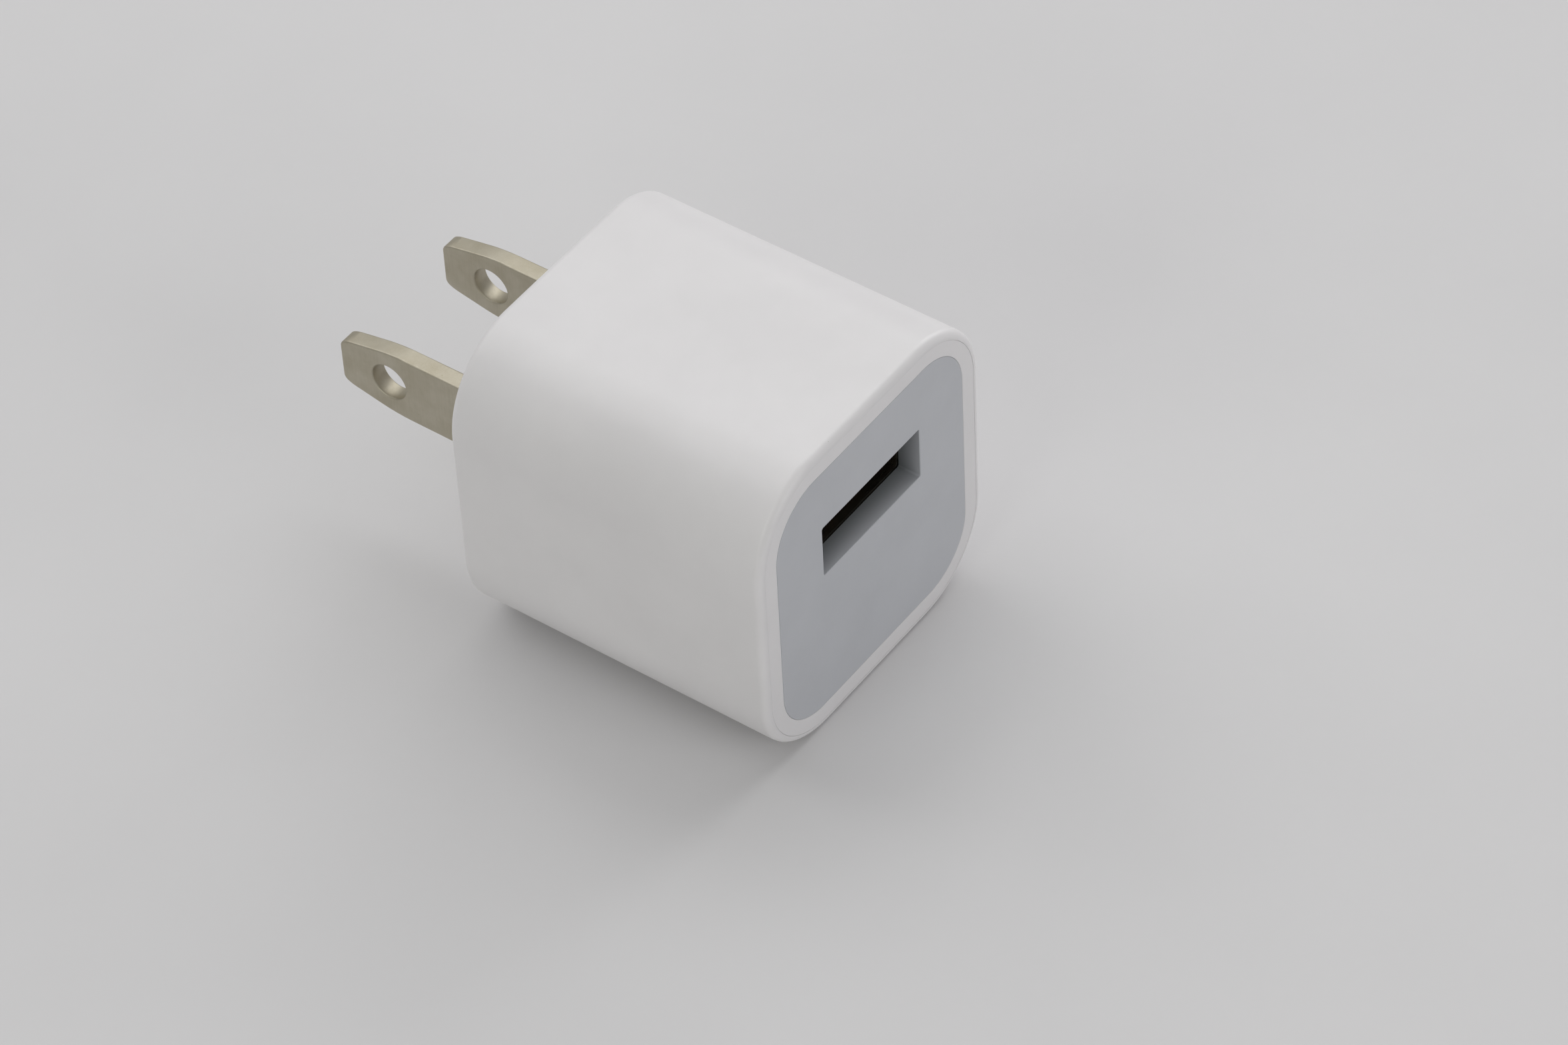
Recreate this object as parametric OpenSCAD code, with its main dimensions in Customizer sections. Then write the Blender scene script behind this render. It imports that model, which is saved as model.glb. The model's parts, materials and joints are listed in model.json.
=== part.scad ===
// Plug-in USB charger cube with two fixed flat blades.
// Origin: centre of the rear face, the one that meets the wall plate.
// +Y leaves the rear face along the blades, +Z is up, the port faces -Y. Millimetres.

/* [Body] */
// Width of the body
body_w = 28; // [27.8:0.1:40]
// Height of the body
body_h = 28; // [27.8:0.1:40]
// Depth of the body from front face to rear face
body_d = 28.3; // [28:0.1:40]
// Radius of the four long corners
corner_r = 7.5; // [6:0.1:8]
// Thickness of the side walls
wall_t = 1.6; // [1.3:0.05:1.95]
// Thickness of the rear wall
rear_t = 2; // [1.6:0.1:2.4]
// Radius of the rounded rear edge
rear_edge_r = 0.6; // [0.3:0.1:1]

/* [Front cap] */
// Thickness of the shell lip around the cap, which is also the round of the front edge
lip_t = 0.7; // [0.5:0.05:0.9]
// Thickness of the cap ring
cap_t = 1.8; // [1.5:0.1:2.4]
// Length of the locating skirt behind the cap ring
skirt_l = 2.2; // [1:0.1:2.6]
// Thickness of the locating skirt
skirt_t = 1; // [0.8:0.1:1.2]

/* [Face plate] */
// Side of the square grey face plate
plate_w = 23.6; // [20:0.1:24]
// Corner radius of the face plate
plate_r = 4.9; // [3:0.1:5.5]
// Thickness of the plate flange that sits in the cap
flange_t = 1; // [0.7:0.1:1.2]
// Width of the step that the flange rests on
plate_step = 1.2; // [0.8:0.1:2]
// Thickness of the plate through the port window
plate_t = 2; // [1.8:0.1:2.4]

/* [USB port] */
// Height of the port centre above the body centre
port_z = 3.85; // [3:0.05:4.5]
// Width inside the metal port shell
port_w = 12.1; // [12.05:0.05:14.6]
// Height inside the metal port shell
port_h = 4.62; // [4.6:0.02:5.6]
// Sheet thickness of the port shell
port_wall = 0.3; // [0.25:0.05:0.4]
// Length of the port shell
port_l = 13.8; // [13.4:0.1:15]
// Margin of the plate window around the inside of the port shell
window_margin = 0.13; // [0:0.01:0.25]
// Thickness of the tongue
tongue_t = 1.84; // [1.7:0.02:2]
// Width of one contact spring
contact_w = 0.8; // [0.6:0.05:1]
// Thickness of one contact spring
contact_t = 0.25; // [0.15:0.05:0.3]
// How far a contact crown stands out of the tongue
crown_out = 0.4; // [0.2:0.05:0.5]

/* [Blades] */
// Distance between the blade centres
blade_pitch = 12.7; // [12:0.1:15.2]
// Thickness of a blade
blade_t = 1.5; // [1.2:0.05:1.8]
// Width of a blade
blade_w = 6.3; // [5.4:0.05:7.6]
// Length of a blade outside the rear face
blade_l = 16.4; // [14:0.1:20]
// Height of the blade centre above the body centre
blade_rise = 0.45; // [0:0.05:0.6]
// Distance from the tip back to where the blade starts to narrow
taper_l = 5.1; // [3:0.1:7]
// Width of the blade where the tip corners start
nose_w = 4.5; // [3.5:0.1:5]
// Width of the flat end of the blade
tip_w = 3.7; // [3:0.1:4.2]
// Length of the tip corners
nose_l = 0.7; // [0.4:0.1:1.2]
// Diameter of the hole in a blade
hole_d = 3.2; // [2.6:0.1:3.4]
// Distance from the blade tip back to the centre of its hole
hole_back = 4.6; // [4:0.1:6]

/* [Blade fixing] */
// Thickness of the blade shoulders behind the rear wall
shoulder_t = 1.2; // [0.8:0.1:1.4]
// How far the shoulders stand out beyond each blade edge
shoulder_h = 0.9; // [0.6:0.1:1.2]
// Thickness of the retainer plate
retainer_t = 1.8; // [1.2:0.1:2]
// Width of retainer material beyond the blade shoulders
retainer_edge = 1.3; // [1:0.1:1.6]
// Diameter of the four stakes that hold the retainer
stake_d = 1.8; // [1.4:0.1:2]
// Sheet thickness of the blade clips and of the strip they hang from
clip_t = 0.3; // [0.2:0.05:0.4]

/* [Board] */
// Thickness of the circuit board
board_t = 1.6; // [1:0.1:1.6]
// Height of the rails that hold the board edges
rail_h = 1; // [0.8:0.1:1.4]
// How far the rails stand in from the walls
rail_in = 0.9; // [0.6:0.1:1.2]

/* [Transformer] */
// Width of the ferrite core
core_w = 10.6; // [10.4:0.1:11.2]
// Length of the joined core halves
core_l = 11; // [10.5:0.1:11.4]
// Height of the core legs
core_h = 3.6; // [3:0.1:4]
// Width of the core's middle leg
core_leg = 3; // [2.6:0.1:3.2]
// Thickness of the core's outer legs and backs
core_back = 1.6; // [1.4:0.1:1.8]
// Height of the bobbin flanges
bobbin_h = 9; // [8.8:0.1:9.6]

/* [Capacitors and coil] */
// Diameter of the large input capacitor
big_cap_d = 8; // [6.3:0.1:8.2]
// Length of the large input capacitor
big_cap_l = 11.2; // [9:0.1:11.4]
// Diameter of the small input capacitor
small_cap_d = 5.8; // [5:0.1:6]
// Length of the small input capacitor
small_cap_l = 10.4; // [9:0.1:10.8]
// Diameter of the output capacitor
out_cap_d = 5.6; // [5:0.1:5.8]
// Length of the output capacitor
out_cap_l = 8.2; // [7:0.1:9]
// Diameter of the filter coil
coil_d = 5; // [4:0.1:5.4]
// Length of the filter coil
coil_l = 6.6; // [5:0.1:6.8]

/* [Hidden] */

$fn = 64;

// Clearances
seam_gap = 0.05;     // between pieces that drop into each other
slot_gap = 0.05;     // round a blade in its slots
side_gap = 0.1;      // between the board or the port and what it slides into
swing_gap = 0.25;    // beside a contact spring that moves
joint_gap = 0.15;    // between a contact spring and its tail
cut = 1;             // how far a cutting shape runs past a surface
bond = 0.3;          // how far a rib runs into the wall it grows from

// Places along the depth
front_y = -body_d;
cap_back_y = front_y + cap_t;
skirt_end_y = cap_back_y + skirt_l;
plate_back_y = front_y + plate_t;
rear_in_y = -rear_t;
shoulder_y = rear_in_y - slot_gap;
retainer_pocket_y = rear_in_y - shoulder_t - 2 * slot_gap;
retainer_front_y = retainer_pocket_y - retainer_t;
stake_head_t = 0.6;
stake_head_lap = 0.45;   // how far a stake head reaches past its stake
stake_head_d = stake_d + 2 * stake_head_lap;
stake_end_y = retainer_front_y - stake_head_t;

// Inside of the shell
cavity_w = body_w - 2 * wall_t;
cavity_h = body_h - 2 * wall_t;
cavity_r = corner_r - wall_t;

// USB port
port_outer_w = port_w + 2 * port_wall;
port_outer_h = port_h + 2 * port_wall;
port_corner_r = 0.6;
mouth_y = plate_back_y + side_gap;
port_end_y = mouth_y + port_l;
window_w = port_w + 2 * window_margin;
window_h = port_h + 2 * window_margin;
window_r = 0.35;
port_floor_z = port_z - port_h / 2;
port_roof_z = port_z + port_h / 2;
port_base_z = port_floor_z - port_wall;

// Board
board_top_z = port_base_z;
board_bottom_z = board_top_z - board_t;
skirt_clear = 0.3;       // between the cap skirt and the board
retainer_clear = 0.7;    // between the board and the retainer
board_front_y = skirt_end_y + skirt_clear;
board_rear_y = retainer_front_y - retainer_clear;
board_w = cavity_w - 2 * side_gap;
side_room = board_w / 2 + side_gap - rail_in - port_outer_w / 2;   // beside the port
pin_d = 0.6;
pin_hole_d = 0.9;
pin_out = 0.7;       // how far a lead shows past the board
hang_gap = 0.9;      // between the board and what hangs under it

// Tongue and contacts
tongue_recess = 2.05;            // from the mouth to the tongue
tongue_y = mouth_y + tongue_recess;
tongue_gap = 0.46;               // room for the roof of a plug above the tongue
tongue_top_z = port_roof_z - tongue_gap;
tongue_low_z = tongue_top_z - tongue_t;
tongue_side = 0.5;               // open space on each side of the tongue
tongue_w = port_w - 2 * tongue_side;
block_l = 2.65;                  // rear block of the insulator
block_y = port_end_y - port_wall - side_gap - block_l;
groove_w = contact_w + 2 * swing_gap;
groove_h = 1.15;
tongue_nose = 0.6;               // solid front end of the tongue
groove_y = tongue_y + tongue_nose;
contact_xs = [-3.5, -1, 1, 3.5];
spring_in_groove = 0.3;          // how deep a contact lies in its groove
spring_low_z = tongue_low_z + spring_in_groove;
spring_mid_z = spring_low_z + contact_t / 2;
hinge_out = 0.9;                 // from the rear block to the hinge of a contact
hinge_y = block_y - hinge_out;
crown_r = 0.55;
crown_y = groove_y + crown_r + swing_gap;
crown_z = tongue_low_z - crown_out + crown_r;
tail_leg_w = 0.7;
tail_leg_y = port_end_y - port_wall - side_gap - contact_t;
tail_hole_d = 1;
tail_window_h = 0.5;             // height of the gap in the shell for the tails

// Tabs of the port shell that pass through the board, and its retaining springs
tab_sides = [-1, 1];
tab_ys = [mouth_y + 5, mouth_y + 10];
tab_w = 1.2;
tab_slot_gap = 0.15;
leaf_xs = [-3.4, 3.4];
leaf_w = 1.7;
leaf_l = 4.6;
leaf_in = 0.22;          // how far a leaf's free end stands into the port
leaf_gap = 0.35;
leaf_t = port_wall - 0.03;
leaf_root_y = mouth_y + 8.4;

// Blades
blade_low_z = blade_rise - blade_w / 2;
blade_high_z = blade_rise + blade_w / 2;
tail_top_z = board_bottom_z - clip_t - side_gap;
clip_grip = 0.02;
clip_l = 3;
clip_inset = 0.2;        // from the rear edge of the board to a clip
clip_y = board_rear_y - clip_l - clip_inset;
tail_past_clip = 0.1;
blade_tail_y = clip_y - tail_past_clip;
clip_pin_y = clip_y + clip_l / 2;

// Retainer
retainer_side = 0.7;     // extra width beside each blade
retainer_w = blade_pitch + blade_t + 2 * (retainer_edge + retainer_side);
retainer_h = blade_w + 2 * shoulder_h + 2 * retainer_edge;
retainer_r = 1.4;
stake_blade_gap = 1.2;   // between a stake head and a blade
stake_edge_gap = 0.3;    // between a stake head and the retainer's edge
stake_x = blade_pitch / 2 - blade_t / 2 - stake_head_d / 2 - stake_blade_gap;
stake_z = retainer_h / 2 - stake_head_d / 2 - stake_edge_gap;

// Transformer, hung under the board
core_x = 3.9;
board_inset = 0.1;       // from the front edge of the board to what hangs under it
core_y0 = board_front_y + board_inset;
core_mid_y = core_y0 + core_l / 2;
bobbin_top_z = board_bottom_z - hang_gap;
core_z = bobbin_top_z - bobbin_h / 2;
flange_gap = 0.05;
flange_w = core_w - 2 * core_back - 2 * flange_gap;
bobbin_flange_t = 0.7;
bobbin_wall = 0.5;
primary_build = 0.8;
secondary_build = 0.45;
tape_build = 0.15;
window_l = core_l - 2 * core_back - 2 * flange_gap;
wire_l = window_l - 2 * bobbin_flange_t;
rail_top_h = 2.1;
rail_l = core_back + flange_gap + bobbin_flange_t;
core_pin_xs = [-3.6, 0, 3.6];
core_pin_ys = [core_y0 + core_back / 2, core_y0 + core_l - core_back / 2];
core_pin_in = 1.2;
foot_d = 0.9;
foot_t = 0.15;

// Middle leg hole, bobbin tube and each layer wound on it, as width and height
hub_in = [core_leg + 2 * flange_gap, core_h + 2 * flange_gap];
hub_out = hub_in + 2 * bobbin_wall * [1, 1];
primary_out = hub_out + 2 * primary_build * [1, 1];
secondary_out = primary_out + 2 * secondary_build * [1, 1];
tape_out = secondary_out + 2 * tape_build * [1, 1];
layer_r = 0.8;

// Capacitors, coil and loose leads
sleeve_t = 0.12;
sleeve_lap = 0.9;
bung_t = 1.2;
lead_d = 0.5;
lead_pitch = 2.5;
lead_run = 0.8;
bung_inset = 0.5;        // from the can's side to the bung
core_gap = 0.45;         // between the transformer and the large capacitor
big_cap_x = core_x - core_w / 2 - big_cap_d / 2 - core_gap;
big_cap_z = board_bottom_z - big_cap_d / 2 - hang_gap;
big_cap_y0 = board_front_y + board_inset;
big_rise = board_top_z + pin_out - big_cap_z;
core_rear_gap = 0.35;    // between the transformer and what lies behind it
lead_gap = 0.2;
small_cap_y = core_y0 + core_l + small_cap_d / 2 + core_rear_gap;
small_cap_z = big_cap_z - lead_d / 2 - small_cap_d / 2 - lead_gap;
small_cap_x0 = -8.4;
small_rise = board_top_z + pin_out - small_cap_z;
coil_x0 = small_cap_x0 + small_cap_l + 2 * lead_run;
coil_hang = 3.5;         // from the board down to the coil
coil_z = board_bottom_z - coil_d / 2 - coil_hang;
coil_hub_d = 2.2;
coil_flange_t = 0.8;
coil_dip = 0.5;          // how much thinner the winding is than its flanges
coil_end_in = 0.4;       // from a coil end to its hole in the board
coil_step = 0.5;         // how far a wire end rises clear of the flanges
out_cap_x = -7.3;
out_cap_y = port_end_y + out_cap_d / 2 + seam_gap;
out_cap_stand = 0.3;     // over the lead ends of the board's underside parts
out_cap_lift = pin_out + out_cap_stand;

// Disc capacitor, fuse resistor and flat parts on top of the board
disc_d = 6.8;
disc_t = 3;
disc_x = 7.6;
disc_y = port_end_y + 1.8;
disc_lift = 1.4;
disc_z = board_top_z + disc_d / 2 + disc_lift;
disc_pitch = 5;
disc_edge = 0.2;         // flat band round the disc
fuse_d = 2.4;
fuse_l = 6;
fuse_x = 0.2;
fuse_y = board_rear_y - 1.8;
fuse_z = board_top_z + 0.6;
fuse_pitch = -2.6;
fuse_loop = 0.8;         // height of the lead loop over the fuse resistor
side_x = port_outer_w / 2 + side_room / 2;
chip_edge = 0.5;         // free board on each side of a chip
chip_w = side_room - 2 * chip_edge;
chip_l = 3.9;
chip_h = 1.5;
chip_lift = 0.1;
chip_lead_w = 0.4;
chip_lead_t = 0.2;
chip_lead_run = 1;
chip_leg_xs = [for (i = [-1.5, -0.5, 0.5, 1.5]) i * chip_w / 4];
chip_y = mouth_y + 8.6;
bridge_y = mouth_y + 8.6;
bridge_l = 4;
bridge_h = 2.3;
bridge_leg_xs = [-0.3 * chip_w, 0.3 * chip_w];
diode_x = -1.9;
diode_y = port_end_y + 2.2;
diode_l = 3.4;
diode_w = 2.4;
diode_h = 2;
small_part_l = 1.6;
small_part_w = 0.8;
small_part_h = 0.45;
small_cap_part_h = 0.8;
small_part_end = 0.3;
small_part_film = 0.03;  // how far an end cap stands out of its part
small_part_edge = 0.2;   // free board outside a pair of small parts
small_part_x = (side_room - small_part_l) / 2 - small_part_edge;
small_part_ys = [mouth_y + 3.4, mouth_y + 5];

// Insulation sheet behind the port
sheet_t = 0.25;
sheet_y = port_end_y + 0.25;
sheet_h = 8.4;
sheet_w = 8.2;

// Square with rounded corners, centred
module rounded_rect(w, h, r) {
    square([w - 2 * r, h], center = true);
    square([w, h - 2 * r], center = true);
    for (sx = [-1, 1], sy = [-1, 1])
        translate([sx * (w / 2 - r), sy * (h / 2 - r)]) circle(r = r);
}

// Extrudes an X-Z outline from y0 to y1
module along_y(y0, y1) {
    translate([0, y1, 0]) rotate([90, 0, 0]) linear_extrude(y1 - y0) children();
}

// Box between two opposite corners
module block(low, high) {
    translate(low) cube(high - low);
}

// Cylinder along Y, from y0 to y1
module rod_y(x, z, y0, y1, d) {
    translate([x, y1, z]) rotate([90, 0, 0]) cylinder(h = y1 - y0, d = d);
}

// Cylinder along Z, from z0 to z1
module rod_z(x, y, z0, z1, d) {
    translate([x, y, z0]) cylinder(h = z1 - z0, d = d);
}

// Half profile of a wall seen from its end: straight side, one rounded corner at each end
module edge_profile(reach, low, high, r_low, r_high) {
    translate([0, low + r_low]) square([reach, high - low - r_low - r_high]);
    translate([0, low]) square([reach - r_low, r_low]);
    translate([0, high - r_high]) square([reach - r_high, r_high]);
    translate([reach - r_low, low + r_low]) circle(r = r_low);
    translate([reach - r_high, high - r_high]) circle(r = r_high);
}

// Block with round long corners and rounded front and rear edges
module soft_block(w, h, r, y0, y1, r_front, r_rear) {
    cx = w / 2 - r;
    cz = h / 2 - r;
    for (sx = [0, 1], sz = [0, 1])
        mirror([sx, 0, 0]) mirror([0, 0, sz]) translate([cx, 0, cz]) rotate([90, 0, 0])
            rotate_extrude(angle = 90) edge_profile(r, -y1, -y0, r_rear, r_front);
    for (sx = [0, 1])
        mirror([sx, 0, 0]) linear_extrude(2 * cz, center = true)
            edge_profile(w / 2, y0, y1, r_front, r_rear);
    for (sz = [0, 1])
        mirror([0, 0, sz]) rotate([0, -90, 0]) linear_extrude(2 * cx, center = true)
            edge_profile(h / 2, y0, y1, r_front, r_rear);
}

// Outline of the part of a blade outside the body, in Y-Z about the blade centre
module blade_outline() {
    polygon([
        [0, -blade_w / 2], [blade_l - taper_l, -blade_w / 2], [blade_l - nose_l, -nose_w / 2],
        [blade_l, -tip_w / 2], [blade_l, tip_w / 2], [blade_l - nose_l, nose_w / 2],
        [blade_l - taper_l, blade_w / 2], [0, blade_w / 2],
    ]);
}

// Rear shell, open at the front, with blade slots, retainer stakes and board rails
module body_shell() {
    color("white") union() {
        difference() {
            soft_block(body_w, body_h, corner_r, front_y, 0, lip_t, rear_edge_r);
            along_y(front_y - cut, rear_in_y) rounded_rect(cavity_w, cavity_h, cavity_r);
            along_y(front_y - cut, cap_back_y)
                rounded_rect(body_w - 2 * lip_t, body_h - 2 * lip_t, corner_r - lip_t);
            for (side = [-1, 1])
                translate([side * blade_pitch / 2, 0, blade_rise])
                    cube([blade_t + 2 * slot_gap, 2 * rear_t + cut, blade_w + 2 * slot_gap],
                        center = true);
        }
        for (sx = [-1, 1], sz = [-1, 1]) {
            rod_y(sx * stake_x, blade_rise + sz * stake_z, stake_end_y, rear_in_y + bond, stake_d);
            rod_y(sx * stake_x, blade_rise + sz * stake_z, stake_end_y, retainer_front_y,
                stake_head_d);
        }
        for (side = [0, 1], level = [board_top_z + side_gap / 2,
                board_bottom_z - side_gap / 2 - rail_h])
            mirror([side, 0, 0])
                block([cavity_w / 2 - rail_in, skirt_end_y + side_gap, level],
                    [cavity_w / 2 + bond, rear_in_y + bond, level + rail_h]);
    }
}

// White ring that closes the shell and carries the face plate
module front_cap() {
    color("white") difference() {
        union() {
            along_y(front_y, cap_back_y)
                rounded_rect(body_w - 2 * lip_t - 2 * seam_gap, body_h - 2 * lip_t - 2 * seam_gap,
                    corner_r - lip_t - seam_gap);
            along_y(cap_back_y - bond, skirt_end_y)
                rounded_rect(cavity_w - 2 * side_gap, cavity_h - 2 * side_gap, cavity_r - side_gap);
        }
        along_y(front_y - cut, front_y + flange_t + seam_gap)
            rounded_rect(plate_w + 2 * seam_gap, plate_w + 2 * seam_gap, plate_r + seam_gap);
        along_y(front_y - cut, skirt_end_y + cut)
            rounded_rect(plate_w - 2 * plate_step, plate_w - 2 * plate_step, plate_r - plate_step);
        along_y(cap_back_y, skirt_end_y + cut)
            rounded_rect(cavity_w - 2 * side_gap - 2 * skirt_t, cavity_h - 2 * side_gap - 2 * skirt_t,
                cavity_r - side_gap - skirt_t);
    }
}

// Grey face plate with the port window
module face_plate() {
    boss_w = plate_w - 2 * plate_step - 2 * seam_gap;
    color("slategray") difference() {
        union() {
            along_y(front_y, front_y + flange_t) rounded_rect(plate_w, plate_w, plate_r);
            along_y(front_y + flange_t / 2, plate_back_y)
                rounded_rect(boss_w, boss_w, plate_r - plate_step - seam_gap);
        }
        translate([0, 0, port_z]) along_y(front_y - cut, plate_back_y + cut)
            rounded_rect(window_w, window_h, window_r);
    }
}

// Mains blade: tapered tip with a hole outside, shoulders and a solder tail inside
module blade(side) {
    x = side * blade_pitch / 2;
    color("tan") difference() {
        union() {
            translate([x - blade_t / 2, 0, blade_rise]) rotate([90, 0, 90])
                linear_extrude(blade_t) blade_outline();
            block([x - blade_t / 2, shoulder_y - shoulder_t, blade_low_z],
                [x + blade_t / 2, bond, blade_high_z]);
            block([x - blade_t / 2, shoulder_y - shoulder_t, blade_low_z - shoulder_h],
                [x + blade_t / 2, shoulder_y, blade_high_z + shoulder_h]);
            block([x - blade_t / 2, blade_tail_y, blade_low_z],
                [x + blade_t / 2, shoulder_y - shoulder_t / 2, tail_top_z]);
        }
        translate([x, blade_l - hole_back, blade_rise]) rotate([0, 90, 0])
            cylinder(h = blade_t + 2 * cut, d = hole_d, center = true);
    }
}

module blade_left() { blade(-1); }

module blade_right() { blade(1); }

// Plate that clamps the blade shoulders against the rear wall
module blade_retainer() {
    color("ivory") difference() {
        translate([0, 0, blade_rise]) along_y(retainer_front_y, rear_in_y)
            rounded_rect(retainer_w, retainer_h, retainer_r);
        for (side = [-1, 1]) {
            x = side * blade_pitch / 2;
            block([x - blade_t / 2 - slot_gap, retainer_pocket_y, blade_low_z - shoulder_h - slot_gap],
                [x + blade_t / 2 + slot_gap, rear_in_y + cut, blade_high_z + shoulder_h + slot_gap]);
            block([x - blade_t / 2 - slot_gap, retainer_front_y - cut, blade_low_z - slot_gap],
                [x + blade_t / 2 + slot_gap, rear_in_y, tail_top_z + slot_gap]);
        }
        for (sx = [-1, 1], sz = [-1, 1])
            rod_y(sx * stake_x, blade_rise + sz * stake_z, retainer_front_y - cut, rear_in_y + cut,
                stake_d + 2 * slot_gap);
    }
}

// Sprung brass clip under the board that grips one blade tail
module blade_clip(side) {
    x = side * blade_pitch / 2;
    reach = blade_t / 2 + clip_grip;
    color("gold") union() {
        block([x - reach - clip_t, clip_y, board_bottom_z - clip_t],
            [x + reach + clip_t, clip_y + clip_l, board_bottom_z]);
        for (leaf = [-1, 1])
            translate([x + leaf * (reach + clip_t / 2), clip_y + clip_l / 2,
                    (board_bottom_z + blade_low_z) / 2])
                cube([clip_t, clip_l, board_bottom_z - blade_low_z], center = true);
        rod_z(x, clip_pin_y, board_bottom_z - clip_t / 2, board_top_z + pin_out, pin_d);
    }
}

module blade_clip_left() { blade_clip(-1); }

module blade_clip_right() { blade_clip(1); }

// Folded steel shell of the port, with retaining springs and four tabs
module usb_shell() {
    color("silver") union() {
        difference() {
            translate([0, 0, port_z]) along_y(mouth_y, port_end_y)
                rounded_rect(port_outer_w, port_outer_h, port_corner_r);
            translate([0, 0, port_z]) along_y(mouth_y - cut, port_end_y - port_wall)
                rounded_rect(port_w, port_h, port_corner_r - port_wall);
            for (x = leaf_xs)
                translate([x, leaf_root_y - (leaf_l + leaf_gap) / 2, port_z])
                    cube([leaf_w + 2 * leaf_gap, leaf_l + leaf_gap, port_outer_h + cut],
                        center = true);
            block([-tongue_w / 2 + tongue_nose, port_end_y - port_wall - side_gap - 2 * contact_t,
                    port_base_z - cut],
                [tongue_w / 2 - tongue_nose, port_end_y + cut, port_floor_z + tail_window_h]);
        }
        for (x = leaf_xs, half = [0, 1])
            translate([x, leaf_root_y, port_z]) mirror([0, 0, half])
                translate([0, 0, port_h / 2])
                    rotate([atan(leaf_in / leaf_l), 0, 0])
                        translate([-leaf_w / 2, -leaf_l, 0])
                            cube([leaf_w, leaf_l + bond, leaf_t]);
        for (side = tab_sides, y = tab_ys)
            translate([side * (port_outer_w - port_wall) / 2, y,
                    (port_z + board_bottom_z - pin_out) / 2])
                cube([port_wall, tab_w, port_z - board_bottom_z + pin_out], center = true);
    }
}

// Black moulding inside the port: rear block and tongue, grooved for the contacts
module usb_insulator() {
    color("dimgray") difference() {
        union() {
            translate([0, 0, port_z]) along_y(block_y, block_y + block_l)
                rounded_rect(port_w - side_gap, port_h - side_gap, port_corner_r - port_wall);
            block([-tongue_w / 2, tongue_y, tongue_low_z],
                [tongue_w / 2, block_y + block_l / 2, tongue_top_z]);
        }
        for (x = contact_xs) {
            block([x - groove_w / 2, groove_y, tongue_low_z - cut],
                [x + groove_w / 2, block_y, tongue_low_z + groove_h]);
            block([x - contact_w / 2 - seam_gap, block_y - cut, spring_low_z - seam_gap],
                [x + contact_w / 2 + seam_gap, port_end_y, spring_low_z + contact_t + seam_gap]);
            block([x - contact_w / 2 - seam_gap, tail_leg_y - seam_gap, port_base_z],
                [x + contact_w / 2 + seam_gap, port_end_y, spring_low_z + contact_t + seam_gap]);
        }
    }
}

// Free end of one contact: a leaf with a rounded crown that a plug pushes up
module contact_spring(i) {
    x = contact_xs[i];
    color("goldenrod") union() {
        block([x - contact_w / 2, crown_y + crown_r - contact_t, spring_low_z],
            [x + contact_w / 2, hinge_y, spring_low_z + contact_t]);
        translate([x, hinge_y, spring_mid_z]) rotate([0, 90, 0])
            cylinder(h = contact_w, d = contact_t, center = true);
        difference() {
            translate([x, crown_y, crown_z]) rotate([0, 90, 0])
                cylinder(h = contact_w, r = crown_r, center = true);
            translate([x, crown_y, crown_z]) rotate([0, 90, 0])
                cylinder(h = contact_w + cut, r = crown_r - contact_t, center = true);
            block([x - contact_w, crown_y - 2 * crown_r, spring_low_z + contact_t],
                [x + contact_w, crown_y + 2 * crown_r, spring_low_z + 2 * crown_r]);
        }
    }
}

module contact_spring_1() { contact_spring(0); }

module contact_spring_2() { contact_spring(1); }

module contact_spring_3() { contact_spring(2); }

module contact_spring_4() { contact_spring(3); }

// Fixed end of one contact: through the rear block and down into the board
module contact_tail(i) {
    x = contact_xs[i];
    color("goldenrod") union() {
        block([x - contact_w / 2, hinge_y + contact_t / 2 + joint_gap, spring_low_z],
            [x + contact_w / 2, tail_leg_y + contact_t, spring_low_z + contact_t]);
        block([x - tail_leg_w / 2, tail_leg_y, board_bottom_z - pin_out],
            [x + tail_leg_w / 2, tail_leg_y + contact_t, spring_low_z + contact_t]);
    }
}

module contact_tail_1() { contact_tail(0); }

module contact_tail_2() { contact_tail(1); }

module contact_tail_3() { contact_tail(2); }

module contact_tail_4() { contact_tail(3); }

// Places of every round hole in the board, as x and y
function board_holes() = concat(
    [for (s = [-1, 1]) [big_cap_x + s * lead_pitch / 2, big_cap_y0 + big_cap_l + lead_run]],
    [for (s = [-1, 1]) [small_cap_x0 + small_cap_l + lead_run, small_cap_y + s * lead_pitch / 2]],
    [for (s = [-1, 1]) [out_cap_x + s * lead_pitch / 2, out_cap_y]],
    [for (s = [-1, 1]) [disc_x + s * disc_pitch / 2, disc_y]],
    [[fuse_x, fuse_y], [fuse_x + fuse_pitch, fuse_y]],
    [[coil_x0 + coil_end_in, small_cap_y], [coil_x0 + coil_l - coil_end_in, small_cap_y]],
    [for (s = [-1, 1]) [s * blade_pitch / 2, clip_pin_y]]
);

// Glass-fibre board that carries every electrical part
module main_board() {
    color("darkgreen") difference() {
        block([-board_w / 2, board_front_y, board_bottom_z],
            [board_w / 2, board_rear_y, board_top_z]);
        for (p = board_holes())
            rod_z(p[0], p[1], board_bottom_z - cut, board_top_z + cut, pin_hole_d);
        for (x = contact_xs)
            rod_z(x, tail_leg_y + contact_t / 2, board_bottom_z - cut, board_top_z + cut, tail_hole_d);
        for (side = tab_sides, y = tab_ys)
            translate([side * (port_outer_w - port_wall) / 2, y, board_bottom_z])
                cube([port_wall + 2 * tab_slot_gap, tab_w + 2 * tab_slot_gap, 3 * board_t],
                    center = true);
    }
}

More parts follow.
